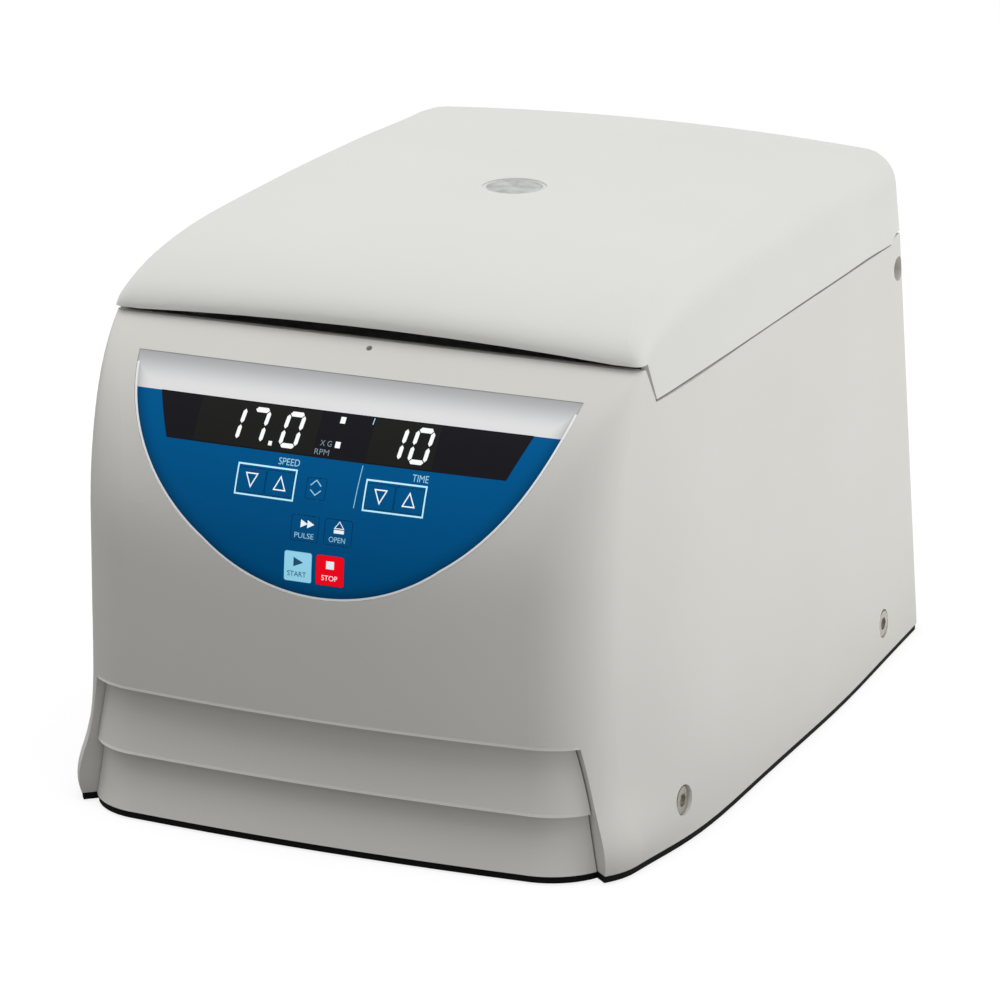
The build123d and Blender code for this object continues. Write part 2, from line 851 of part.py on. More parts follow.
with BuildPart() as feet:
    for x, y in foot_spots:
        with BuildSketch(Plane.XY):
            with Locations((x, y)):
                Circle(foot_r)
        extrude(amount=base_z)
        with BuildSketch(Plane.XY.offset(base_z)):
            with Locations((x, y)):
                Circle(foot_stem_r)
        extrude(amount=tray_top_z - base_z)
        with BuildSketch(Plane.XY.offset(tray_top_z)):
            with Locations((x, y)):
                Circle(foot_head_r)
        extrude(amount=2, taper=20)
feet.part.label = "rubber_feet"
export_step(feet.part, "parts/rubber_feet.step")

with BuildPart() as side_screw_group:
    for side, y in side_screws:
        with BuildSketch(screw_plane(side, y).offset(-recess_depth)):
            Circle(side_head_r)
        extrude(amount=side_head_height)
        with BuildSketch(screw_plane(side, y).offset(-recess_depth + side_head_height)):
            RegularPolygon(hex_r, 6)
        extrude(amount=-side_head_height * 0.7, mode=Mode.SUBTRACT)
        with BuildSketch(screw_plane(side, y).offset(-recess_depth)):
            Circle(thread_r)
        extrude(amount=-(boss_depth - recess_depth + seat_gap + tab_thick))
side_screw_group.part.label = "side_screws"
export_step(side_screw_group.part, "parts/side_screws.step")

# Control and power boards on posts above the tray, with their larger components
low_boards = [(control_y, control_width, control_depth), (power_y, power_width, power_depth)]
with BuildPart() as board_stands:
    for y, width, depth in low_boards:
        with BuildSketch(Plane.XY.offset(tray_top_z)):
            with Locations((0, y)):
                with GridLocations(width - 4 * post_r, depth - 4 * post_r, 2, 2):
                    Circle(post_r)
        extrude(amount=low_board_z - tray_top_z)
board_stands.part.label = "board_stands"
export_step(board_stands.part, "parts/board_stands.step")
with BuildPart() as control_board:
    with Locations((0, control_y, low_board_z + board_thick / 2)):
        Box(control_width, control_depth, board_thick)
control_board.part.label = "control_board"
export_step(control_board.part, "parts/control_board.step")
with BuildPart() as power_board:
    with Locations((0, power_y, low_board_z + board_thick / 2)):
        Box(power_width, power_depth, board_thick)
power_board.part.label = "power_board"
export_step(power_board.part, "parts/power_board.step")
board_top_z = low_board_z + board_thick
with BuildPart() as components:
    with BuildSketch(Plane.XY.offset(board_top_z)):
        with Locations((-40, control_y)):
            Rectangle(chip_size, chip_size)
        with Locations((control_width / 2 - connector_depth, control_y)):
            Rectangle(connector_depth, connector_width)
    extrude(amount=chip_height)
    with BuildSketch(Plane.XY.offset(board_top_z)):
        for step in (0, 1, 2):
            with Locations((power_width / 2 - (2 * step + 1.5) * capacitor_r * 1.15, power_y)):
                Circle(capacitor_r)
    extrude(amount=capacitor_height)
components.part.label = "board_components"
export_step(components.part, "parts/board_components.step")
with BuildPart() as heat_sink:
    with Locations((-power_width / 4, power_y, board_top_z + heat_sink_foot / 2)):
        Box(heat_sink_width, heat_sink_depth, heat_sink_foot)
    with Locations((-power_width / 4, power_y, board_top_z + heat_sink_height / 2)):
        with GridLocations((heat_sink_width - fin_thick) / (fin_count - 1), 0, fin_count, 1):
            Box(fin_thick, heat_sink_depth, heat_sink_height)
heat_sink.part.label = "heat_sink"
export_step(heat_sink.part, "parts/heat_sink.step")

# Rotor chamber: a pressed bowl that hangs by its rim, a gasket on the rim and a boot round the shaft
with BuildPart() as bowl:
    with BuildSketch(Plane.XZ.offset(-axis_y)):
        with BuildLine():
            outer = bowl_r + bowl_wall
            Polyline((bowl_hole_r, bowl_floor_z), (bowl_r - bowl_corner, bowl_floor_z))
            turn_z = bowl_floor_z + bowl_corner
            RadiusArc((bowl_r - bowl_corner, bowl_floor_z), (bowl_r, turn_z), -bowl_corner)
            Polyline((bowl_r, turn_z), (bowl_r, bowl_rim_z), (bowl_r + bowl_rim, bowl_rim_z),
                     (bowl_r + bowl_rim, split_z), (outer, split_z), (outer, turn_z))
            RadiusArc((outer, turn_z), (bowl_r - bowl_corner, bowl_floor_z - bowl_wall),
                      bowl_corner + bowl_wall)
            Polyline((bowl_r - bowl_corner, bowl_floor_z - bowl_wall),
                     (bowl_hole_r, bowl_floor_z - bowl_wall), (bowl_hole_r, bowl_floor_z))
        make_face()
    revolve(axis=Axis((0, axis_y, 0), (0, 0, 1)))
bowl.part.label = "rotor_bowl"
export_step(bowl.part, "parts/rotor_bowl.step")
with BuildPart() as gasket:
    with Locations((0, axis_y, (bowl_rim_z + gasket_top_z) / 2)):
        Cylinder(bowl_r + gasket_width, gasket_height)
        Cylinder(bowl_r + gasket_inset, gasket_height, mode=Mode.SUBTRACT)
gasket.part.label = "bowl_gasket"
export_step(gasket.part, "parts/bowl_gasket.step")
boot_top_z = bowl_floor_z - bowl_wall
with BuildPart() as boot:
    with Locations((0, axis_y, (motor_top_z + boot_top_z) / 2)):
        Cylinder(bowl_hole_r + boot_wall, boot_top_z - motor_top_z)
    with Locations((0, axis_y, boot_top_z + boot_wall)):
        Cylinder(bowl_hole_r - fit_gap, 2 * boot_wall)
    with Locations((0, axis_y, bowl_floor_z)):
        Cylinder(shaft_r + boot_wall, 30, mode=Mode.SUBTRACT)
boot.part.label = "shaft_boot"
export_step(boot.part, "parts/shaft_boot.step")

# Motor: a cup hung from a plate on three rubber mounts, with its stator, cap and two bearings
with BuildPart() as mount_pillars:
    with BuildSketch(Plane.XY.offset(tray_top_z)):
        with Locations((0, axis_y)):
            with PolarLocations(damper_circle, 3, 90):
                Circle(pillar_r)
    extrude(amount=pillar_top_z - tray_top_z)
mount_pillars.part.label = "mount_pillars"
export_step(mount_pillars.part, "parts/mount_pillars.step")
with BuildPart() as mounts:
    with BuildSketch(Plane.XY.offset(pillar_top_z)):
        with Locations((0, axis_y)):
            with PolarLocations(damper_circle, 3, 90):
                Circle(damper_r)
    extrude(amount=plate_z - pillar_top_z)
mounts.part.label = "rubber_mounts"
export_step(mounts.part, "parts/rubber_mounts.step")
with BuildPart() as mount_plate:
    with Locations((0, axis_y, plate_z + plate_thick / 2)):
        Cylinder(plate_r, plate_thick)
        Cylinder(motor_r + fit_gap, plate_thick, mode=Mode.SUBTRACT)
mount_plate.part.label = "motor_mount_plate"
export_step(mount_plate.part, "parts/motor_mount_plate.step")

motor_floor_z = motor_foot_z + motor_wall
cap_seat_z = motor_top_z - motor_wall
bearing_housing_r = bearing_r + bearing_wall
plate_top_z = plate_z + plate_thick
with BuildPart() as motor_housing:
    with Locations((0, axis_y, (motor_foot_z + cap_seat_z) / 2)):
        Cylinder(motor_r, cap_seat_z - motor_foot_z)
    with Locations((0, axis_y, plate_top_z + plate_thick / 2)):
        Cylinder(flange_r, plate_thick)
    with Locations((0, axis_y, (motor_floor_z + cap_seat_z) / 2)):
        Cylinder(motor_r - motor_wall, cap_seat_z - motor_floor_z, mode=Mode.SUBTRACT)
    with Locations((0, axis_y, motor_floor_z + bearing_width / 2)):
        Cylinder(bearing_housing_r, bearing_width)
        Cylinder(bearing_r, bearing_width, mode=Mode.SUBTRACT)
motor_housing.part.label = "motor_housing"
export_step(motor_housing.part, "parts/motor_housing.step")
with BuildPart() as motor_cap:
    with Locations((0, axis_y, motor_top_z - motor_wall / 2)):
        Cylinder(motor_r, motor_wall)
    with Locations((0, axis_y, cap_seat_z - bearing_width / 2)):
        Cylinder(bearing_housing_r, bearing_width)
        Cylinder(bearing_r, bearing_width, mode=Mode.SUBTRACT)
    with Locations((0, axis_y, motor_top_z)):
        Cylinder(shaft_r + cap_clear, 20, mode=Mode.SUBTRACT)
motor_cap.part.label = "motor_cap"
export_step(motor_cap.part, "parts/motor_cap.step")
with BuildPart() as bearings:
    for z in (motor_floor_z + bearing_width / 2, cap_seat_z - bearing_width / 2):
        with Locations((0, axis_y, z)):
            Cylinder(bearing_r, bearing_width)
            Cylinder(shaft_r + shaft_fit, bearing_width, mode=Mode.SUBTRACT)
bearings.part.label = "motor_bearings"
export_step(bearings.part, "parts/motor_bearings.step")
motor_middle_z = (motor_floor_z + cap_seat_z) / 2
with BuildPart() as stator:
    with Locations((0, axis_y, motor_middle_z)):
        Cylinder(motor_r - motor_wall - shaft_fit, stator_height)
        Cylinder(stator_bore, stator_height, mode=Mode.SUBTRACT)
stator.part.label = "motor_stator"
export_step(stator.part, "parts/motor_stator.step")

# Rotor body: shaft, armature, fixed-angle rotor with its ring of tube bores, and the rotor nut
shaft_foot_z = motor_floor_z + shaft_end_gap
with BuildPart() as shaft:
    with Locations((0, axis_y, (shaft_foot_z + hub_top_z) / 2)):
        Cylinder(shaft_r, hub_top_z - shaft_foot_z)
shaft.part.label = "motor_shaft"
export_step(shaft.part, "parts/motor_shaft.step")
with BuildPart() as armature:
    with Locations((0, axis_y, motor_middle_z)):
        Cylinder(stator_bore - rotor_gap, stator_height - armature_short)
        Cylinder(shaft_r, stator_height, mode=Mode.SUBTRACT)
armature.part.label = "motor_armature"
export_step(armature.part, "parts/motor_armature.step")
cone_floor_z = tube_mouth_z - (tube_mouth_r - hub_floor_r)
cone_top_r = tube_mouth_r + (rotor_top_z - tube_mouth_z)
tube_lean = radians(tube_tilt)
with BuildPart() as rotor:
    with BuildSketch(Plane.XZ.offset(-axis_y)):
        with BuildLine():
            Polyline((shaft_r, rotor_base_z), (rotor_base_r, rotor_base_z), (rotor_r, rotor_side_z),
                     (rotor_r, rotor_top_z), (cone_top_r, rotor_top_z), (hub_floor_r, cone_floor_z),
                     (hub_r, cone_floor_z), (hub_r, hub_top_z), (shaft_r, hub_top_z), close=True)
        make_face()
    revolve(axis=Axis((0, axis_y, 0), (0, 0, 1)))
    for step in range(tube_count):
        turn = 2 * pi * (step + 0.5) / tube_count
        mouth = Plane(origin=(tube_mouth_r * cos(turn), axis_y + tube_mouth_r * sin(turn), tube_mouth_z),
                      x_dir=(-sin(turn), cos(turn), 0),
                      z_dir=(-sin(tube_lean) * cos(turn), -sin(tube_lean) * sin(turn), cos(tube_lean)))
        with BuildSketch(mouth.offset(6)):
            Circle(tube_r)
        extrude(amount=-tube_depth - 6, mode=Mode.SUBTRACT)
rotor.part.label = "rotor"
export_step(rotor.part, "parts/rotor.step")
with BuildPart() as nut:
    with Locations((0, axis_y, hub_top_z + nut_height / 2)):
        Cylinder(nut_r, nut_height)
    with BuildSketch(Plane.XY.offset(hub_top_z + nut_height)):
        with Locations((0, axis_y)):
            RegularPolygon(nut_socket_r, 6)
    extrude(amount=-nut_height / 2, mode=Mode.SUBTRACT)
nut.part.label = "rotor_nut"
export_step(nut.part, "parts/rotor_nut.step")

# Lid form: cross sections along Y, dropping in a quarter ellipse to the nose and turned in at the rear
def lid_half(y, inset=0.0):
    """Half width of the lid at its skirt, at station y."""
    share = min(max((y - side_middle_y) / (side_rear_y - side_middle_y), 0.0), 1.0)
    rear_share = max((y - side_rear_y) / (drum_y - side_rear_y), 0.0)
    return top_half - side_taper * share - (rear_taper - side_taper) * rear_share - inset


def lid_edge(y):
    """Height of the lid's shoulder at station y, before the nose drops."""
    return lid_top_z - lid_sag * ((y - lid_sag_y) / lid_sag_length) ** 2


def lid_section(y, edge, tuck, lean, shoulder, inset):
    """Cross section of the lid at station y, in a plane that leans forwards by the angle lean."""
    foot = lid_low_z - split_z
    rise = (edge - inset - split_z) / cos(lean)
    half = lid_half(y, inset) - tuck
    draw = flare_front / split_z
    across = Plane(origin=(0, y, split_z), x_dir=(1, 0, 0), z_dir=(0, -cos(lean), -sin(lean)))
    with BuildSketch(across) as section:
        with BuildLine():
            right = Line((half - draw * foot, foot), (half - draw * rise, rise))
            top = ThreePointArc(right @ 1, (0, rise + lid_crown), (-half + draw * rise, rise))
            left = Line(top @ 1, (-half + draw * foot, foot))
            Line(left @ 1, right @ 0)
        make_face()
        fillet(section.vertices().sort_by(Axis.Y)[-2:], shoulder)
    return section.sketch


def lid_solid(inset=0.0):
    """The lid's outer form down to below the hinge, drawn in by inset."""
    length = nose_length - inset
    sections = []
    for angle in (90, 82, 72, 60, 46, 30, 14):
        turn = radians(angle)
        y = nose_start_y - length * sin(turn)
        ahead = length * (1 - sin(turn))
        edge = lid_edge(nose_start_y - nose_length * sin(turn)) - nose_drop * (1 - cos(turn))
        tuck = nose_tuck * sin(turn) ** 4 + top_corner * max(0.0, 1 - sqrt(ahead / top_corner)) ** 2
        shoulder = nose_shoulder + (lid_shoulder - nose_shoulder) * cos(turn)
        sections.append(lid_section(y, edge, tuck, 0.0, max(shoulder - inset, 1.0), inset))
    for y in (-30.0, 10.0, 50.0, 90.0, 125.0):
        sections.append(lid_section(y, lid_edge(y), 0.0, 0.0, lid_shoulder - inset, inset))
    for share in (1.0, 0.45, 0.13, 0.0):
        reach = rear_corner * share
        turned = 1 - sqrt(1 - (1 - share) ** 2)
        y = drum_y - inset - reach
        edge = lid_edge(y) - lid_rear_round * turned
        shoulder = lid_shoulder - (lid_shoulder - nose_shoulder) * turned * 0.6
        tuck = (rear_corner - inset) * turned
        sections.append(lid_section(y, edge, tuck, rear_wall_lean, shoulder - inset, inset))
    with BuildPart() as form:
        loft(sections)
    return form.part


# Lid shell, with its barrel between the ears and the four bosses that carry the liner
under_lid = side_prism(((lid_front_y - 10, 100), (lid_front_y - 10, lid_front_z),
                        (rim_back_y + lid_gap, lid_front_z), (jog_y + lid_gap, lid_skirt_z),
                        (rear_foot_y + 40, lid_skirt_z), (rear_foot_y + 40, 100)), 140)
lid_form = lid_solid()
lid_inner = lid_solid(lid_wall)
window_top_z = lid_edge(axis_y) + lid_crown
liner_top_z = liner_z + liner_thick
boss_spots = [(side * lid_boss_x, y) for side in (-1, 1) for y in (lid_boss_front_y, lid_boss_rear_y)]
with BuildPart() as lid_bosses:
    with BuildSketch(Plane.XY.offset(liner_top_z)):
        with Locations(*boss_spots):
            Circle(lid_boss_r)
    extrude(amount=60)
    with BuildSketch(Plane.XY.offset(liner_top_z)):
        with Locations(*boss_spots):
            Circle(thread_r)
    extrude(amount=screw_reach, mode=Mode.SUBTRACT)
    add(lid_form, mode=Mode.INTERSECT)
with BuildPart() as hinge_web:
    add(side_prism(((rear_at(pin_z) - lid_wall, pin_z), (rear_at(pin_z) - fit_gap, pin_z),
                    (rear_at(web_top_z) - fit_gap, web_top_z), (rear_at(web_top_z) - lid_wall, web_top_z)),
                   ear_inner_x - hinge_gap))
    add(cross_bar(pin_y, pin_z, barrel_r, ear_inner_x - hinge_gap))
    add(cross_bar(pin_y, pin_z, barrel_bore, ear_inner_x), mode=Mode.SUBTRACT)
with BuildPart() as lid_shell:
    add(lid_form)
    add(lid_inner, mode=Mode.SUBTRACT)
    add(lid_bosses.part)
    add(under_lid, mode=Mode.SUBTRACT)
    for side in (-1, 1):
        with BuildSketch(Plane.YZ.offset(side * (ear_inner_x - hinge_gap))):
            with Locations((pin_y, pin_z)):
                Circle(ear_r + ear_gap)
        extrude(amount=side * 30, mode=Mode.SUBTRACT)
    with BuildSketch(Plane.XZ.offset(-lid_front_y + 5)):
        with BuildLine():
            edge = ThreePointArc((-lid_arch_half, lid_front_z), (0, lid_front_z + lid_arch),
                                 (lid_arch_half, lid_front_z))
            Polyline(edge @ 1, (lid_arch_half, lid_front_z - 5), (-lid_arch_half, lid_front_z - 5), edge @ 0)
        make_face()
    extrude(amount=-5 - lid_wall - 1, mode=Mode.SUBTRACT)
    with Locations((0, axis_y, window_top_z)):
        Cylinder(window_r, 20, mode=Mode.SUBTRACT)
    add(hinge_web.part)
lid_shell.part.label = "lid_shell"
export_step(lid_shell.part, "parts/lid_shell.step")

with BuildPart() as bushes:
    for x in (-ear_inner_x + hinge_gap, ear_inner_x - hinge_gap - bush_length):
        add(cross_tube(pin_y, pin_z, barrel_bore, pin_r + pin_fit, x, x + bush_length))
bushes.part.label = "hinge_bushes"
export_step(bushes.part, "parts/hinge_bushes.step")
with BuildPart() as pins:
    for x in (pin_outer_x - pin_length, -pin_outer_x):
        add(cross_tube(pin_y, pin_z, pin_r, 0, x, x + pin_length))
pins.part.label = "hinge_pins"
export_step(pins.part, "parts/hinge_pins.step")

# Counterbalance springs: close coils round the inner ends of the pins, one ring of wire for each turn
coil_end_x = ear_inner_x - hinge_gap - bush_length - spring_gap
with BuildPart() as springs:
    for side in (-1, 1):
        with BuildSketch(Plane.XZ.offset(-pin_y)):
            for turn in range(spring_turns):
                wire_x = coil_end_x - spring_wire * (turn * 0.95 + 0.5)
                with Locations((side * wire_x, pin_z + coil_mean_r)):
                    Circle(spring_wire / 2)
        revolve(axis=Axis((0, pin_y, pin_z), (1, 0, 0)))
springs.part.label = "lid_springs"
export_step(springs.part, "parts/lid_springs.step")

# Lid liner, with the sight tube and window above the rotor, and the latch hook below
with BuildPart() as liner:
    with BuildSketch(Plane.XY.offset(liner_z)):
        with BuildLine():
            half = lid_half(liner_front_y) - lid_wall - liner_clear
            Polyline((0, liner_front_y), (half - liner_corner, liner_front_y),
                     (half, liner_front_y + liner_corner),
                     (lid_half(side_rear_y) - lid_wall - liner_clear, side_rear_y),
                     (lid_half(liner_rear_y) - lid_wall - liner_clear, liner_rear_y), (0, liner_rear_y))
            mirror(about=Plane.YZ)
        make_face()
        with Locations((0, axis_y)):
            Circle(sight_r, mode=Mode.SUBTRACT)
        with Locations(*boss_spots):
            Circle(thread_r + fit_gap, mode=Mode.SUBTRACT)
    extrude(amount=liner_thick)
liner.part.label = "lid_liner"
export_step(liner.part, "parts/lid_liner.step")
tube_top_z = window_top_z - lid_wall - tube_seat_gap
with BuildPart() as sight_tube:
    with Locations((0, axis_y, (liner_top_z + tube_top_z) / 2)):
        Cylinder(sight_r + sight_wall, tube_top_z - liner_top_z)
    with Locations((0, axis_y, tube_top_z - sight_wall / 2)):
        Cylinder(window_r + lid_wall, sight_wall)
    with Locations((0, axis_y, tube_top_z)):
        Cylinder(sight_r, 100, mode=Mode.SUBTRACT)
sight_tube.part.label = "sight_tube"
export_step(sight_tube.part, "parts/sight_tube.step")
with BuildPart() as window:
    with Locations((0, axis_y, (tube_top_z + window_top_z - window_sink) / 2)):
        Cylinder(window_r - fit_gap, window_top_z - window_sink - tube_top_z)
window.part.label = "lid_window"
export_step(window.part, "parts/lid_window.step")
with BuildPart() as lid_screws:
    with BuildSketch(Plane.XY.offset(liner_z)):
        with Locations(*boss_spots):
            Circle(thread_r)
    extrude(amount=liner_thick + screw_reach)
    with BuildSketch(Plane.XY.offset(liner_z)):
        with Locations(*boss_spots):
            Circle(lid_screw_head_r)
    extrude(amount=-lid_screw_head)
lid_screws.part.label = "lid_screws"
export_step(lid_screws.part, "parts/lid_screws.step")
hook_front_y = hook_y - hook_thick / 2
with BuildPart() as hook:
    add(side_prism(((hook_y + hook_thick / 2, liner_z), (hook_y + hook_thick / 2, hook_foot_z),
                    (hook_front_y, hook_foot_z),
                    (hook_front_y - hook_nose, hook_foot_z + hook_nose_height / 2),
                    (hook_front_y - hook_nose, hook_foot_z + hook_nose_height),
                    (hook_front_y, hook_foot_z + hook_nose_height), (hook_front_y, liner_z)), hook_half))
hook.part.label = "latch_hook"
export_step(hook.part, "parts/latch_hook.step")

# Latch under the deck: a bracket, a pawl on a cross pin, its spring and the drive that pulls it clear
deck_under_z = split_z - wall
with BuildPart() as bracket:
    for side in (-1, 1):
        with BuildSketch(Plane.YZ.offset(side * (bracket_half - bracket_wall / 2))):
            with BuildLine():
                Polyline((bracket_front_y, bracket_foot_z), (bracket_rear_y, bracket_foot_z),
                         (bracket_rear_y, deck_under_z), (jog_y - wall, deck_under_z),
                         (bracket_front_y, deck_under_z - bracket_step), close=True)
            make_face()
        extrude(amount=bracket_wall / 2, both=True)
    with Locations((0, bracket_front_y + bracket_wall / 2, bracket_foot_z + plate_rise / 2)):
        Box(2 * bracket_half, bracket_wall, plate_rise)
    add(cross_bar(pawl_y, pawl_z, pawl_pin_r, bracket_half))
bracket.part.label = "latch_bracket"
export_step(bracket.part, "parts/latch_bracket.step")
with BuildPart() as latch_drive:
    with Locations((0, bracket_front_y - drive_depth / 2, bracket_foot_z + drive_rise / 2)):
        Box(2 * bracket_half, drive_depth, drive_rise)
latch_drive.part.label = "latch_drive"
export_step(latch_drive.part, "parts/latch_drive.step")
nose_low = hook_foot_z + hook_nose_height + pawl_free - pawl_z
nose_reach = hook_front_y - hook_free - pawl_y
free_turn = radians(pawl_travel)
pawl_x_dir = (0, cos(free_turn), sin(free_turn))
with BuildPart() as pawl:
    with BuildSketch(Plane(origin=(0, pawl_y, pawl_z), x_dir=pawl_x_dir, z_dir=(1, 0, 0))):
        with BuildLine():
            Polyline((-pawl_arm / 2, 0), (pawl_arm / 2, 0), (pawl_arm / 2, nose_low), (nose_reach, nose_low),
                     (nose_reach, nose_low + pawl_nose / 2), (nose_reach - 2, nose_low + pawl_nose),
                     (-pawl_arm / 2, nose_low + pawl_nose), close=True)
        make_face()
        Circle(pawl_hub_r)
        Circle(pawl_pin_r + shaft_fit, mode=Mode.SUBTRACT)
    extrude(amount=pawl_half, both=True)
pawl.part.label = "latch_pawl"
export_step(pawl.part, "parts/latch_pawl.step")
with BuildPart() as pawl_spring:
    with BuildSketch(Plane.XZ.offset(-pawl_y)):
        for turn in range(pawl_spring_turns):
            with Locations((pawl_half + fit_gap + pawl_wire * (turn * 0.95 + 0.5), pawl_z + pawl_coil_r)):
                Circle(pawl_wire / 2)
    revolve(axis=Axis((0, pawl_y, pawl_z), (1, 0, 0)))
pawl_spring.part.label = "pawl_spring"
export_step(pawl_spring.part, "parts/pawl_spring.step")

# Rear panel inside the rear opening, with vent slots, and four screws through it
with BuildPart() as rear_panel:
    with BuildSketch(rear_seat):
        Rectangle(panel_width + 2 * panel_ledge, panel_height + 2 * panel_ledge)
        with Locations((vent_x, 0)):
            with GridLocations(0, vent_pitch, 1, vent_count):
                SlotOverall(vent_width, vent_height, mode=Mode.SUBTRACT)
        with Locations((inlet_x, inlet_y)):
            Rectangle(inlet_body_width + 2 * fit_gap, inlet_body_height + 2 * fit_gap, mode=Mode.SUBTRACT)
        with Locations((switch_x, switch_y)):
            Rectangle(switch_body_width + 2 * fit_gap, switch_body_height + 2 * fit_gap, mode=Mode.SUBTRACT)
        with Locations(*ledge_screw_spots):
            Circle(thread_r + fit_gap, mode=Mode.SUBTRACT)
    extrude(amount=-rear_panel_thick)
rear_panel.part.label = "rear_panel"
export_step(rear_panel.part, "parts/rear_panel.step")
with BuildPart() as rear_screws:
    with BuildSketch(rear_face.offset(-head_height)):
        with Locations(*ledge_screw_spots):
            Circle(head_r)
    extrude(amount=head_height)
    with BuildSketch(rear_face):
        with Locations(*ledge_screw_spots):
            RegularPolygon(head_r * 0.45, 6)
    extrude(amount=-head_height * 0.6, mode=Mode.SUBTRACT)
    with BuildSketch(rear_face.offset(-head_height)):
        with Locations(*ledge_screw_spots):
            Circle(thread_r)
    extrude(amount=head_height - wall - rear_panel_thick)
rear_screws.part.label = "rear_screws"
export_step(rear_screws.part, "parts/rear_screws.step")

# Mains inlet: flanged socket with three blades, and a fuse drawer that slides out below it
with BuildPart() as inlet:
    with BuildSketch(rear_seat):
        with Locations((inlet_x, inlet_y)):
            RectangleRounded(inlet_width, inlet_height, 3)
    extrude(amount=inlet_flange)
    with BuildSketch(rear_seat):
        with Locations((inlet_x, inlet_y)):
            Rectangle(inlet_body_width, inlet_body_height)
    extrude(amount=-inlet_depth)
    with BuildSketch(rear_seat.offset(inlet_flange)):
        with Locations((inlet_x, inlet_y + socket_y)):
            RectangleRounded(socket_width, socket_height, 2)
    extrude(amount=-socket_depth, mode=Mode.SUBTRACT)
    with BuildSketch(rear_seat.offset(inlet_flange)):
        with Locations((inlet_x, inlet_y + drawer_y)):
            Rectangle(drawer_width + 2 * drawer_gap, drawer_height + 2 * drawer_gap)
    extrude(amount=-drawer_depth - drawer_gap, mode=Mode.SUBTRACT)
inlet.part.label = "mains_inlet"
export_step(inlet.part, "parts/mains_inlet.step")
blade_spots = [(inlet_x - blade_spacing, inlet_y + socket_y - blade_height / 2),
               (inlet_x + blade_spacing, inlet_y + socket_y - blade_height / 2),
               (inlet_x, inlet_y + socket_y + blade_height / 2)]
with BuildPart() as blades:
    with BuildSketch(rear_seat.offset(inlet_flange - socket_depth)):
        with Locations(*blade_spots):
            Rectangle(blade_width, blade_height)
    extrude(amount=blade_length)
blades.part.label = "inlet_blades"
export_step(blades.part, "parts/inlet_blades.step")
with BuildPart() as drawer:
    with BuildSketch(rear_seat.offset(inlet_flange)):
        with Locations((inlet_x, inlet_y + drawer_y)):
            Rectangle(drawer_width, drawer_height)
    extrude(amount=-drawer_depth)
    with BuildSketch(rear_seat.offset(inlet_flange)):
        with Locations((inlet_x, inlet_y + drawer_y)):
            Rectangle(drawer_grip, drawer_height)
    extrude(amount=drawer_lip)
drawer.part.label = "fuse_drawer"
export_step(drawer.part, "parts/fuse_drawer.step")

# Power switch: a frame in the rear panel and a rocker on a cross pin, resting on its off side
with BuildPart() as switch_frame:
    with BuildSketch(rear_seat):
        with Locations((switch_x, switch_y)):
            RectangleRounded(switch_width, switch_height, 2)
    extrude(amount=switch_flange)
    with BuildSketch(rear_seat):
        with Locations((switch_x, switch_y)):
            Rectangle(switch_body_width, switch_body_height)
    extrude(amount=-switch_depth)
    with BuildSketch(rear_seat.offset(switch_flange)):
        with Locations((switch_x, switch_y)):
            Rectangle(rocker_width + 2 * rocker_gap, rocker_height + 2 * rocker_gap)
    extrude(amount=-switch_flange - rocker_room, mode=Mode.SUBTRACT)
    pin_end = (switch_x - rocker_width / 2 - rocker_gap, switch_y, -rocker_pivot)
    with BuildSketch(Plane(rear_seat.from_local_coords(pin_end), x_dir=rear_seat.y_dir,
                           z_dir=rear_seat.x_dir)):
        Circle(rocker_pin_r)
    extrude(amount=rocker_width + 2 * rocker_gap)
switch_frame.part.label = "switch_frame"
export_step(switch_frame.part, "parts/switch_frame.step")
rocker_turn = radians(rocker_travel / 2)
rocker_up = Vector(*rear_seat.y_dir) * cos(rocker_turn) + Vector(*rear_seat.z_dir) * sin(rocker_turn)
with BuildPart() as rocker:
    rocker_end = (switch_x - rocker_width / 2, switch_y, -rocker_pivot)
    with BuildSketch(Plane(rear_seat.from_local_coords(rocker_end), x_dir=rocker_up,
                           z_dir=rear_seat.x_dir)):
        with BuildLine():
            Polyline((-rocker_height / 2, rocker_low), (rocker_height / 2, rocker_low),
                     (rocker_height / 2, rocker_high), (0, rocker_high - rocker_dip),
                     (-rocker_height / 2, rocker_high),
                     close=True)
        make_face()
        Circle(rocker_pin_r + shaft_fit, mode=Mode.SUBTRACT)
    extrude(amount=rocker_width)
rocker.part.label = "power_switch_rocker"
export_step(rocker.part, "parts/power_switch_rocker.step")
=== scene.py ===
"""Looks of the bench microcentrifuge: finishes, printed keypad, lit digits, camera and light."""

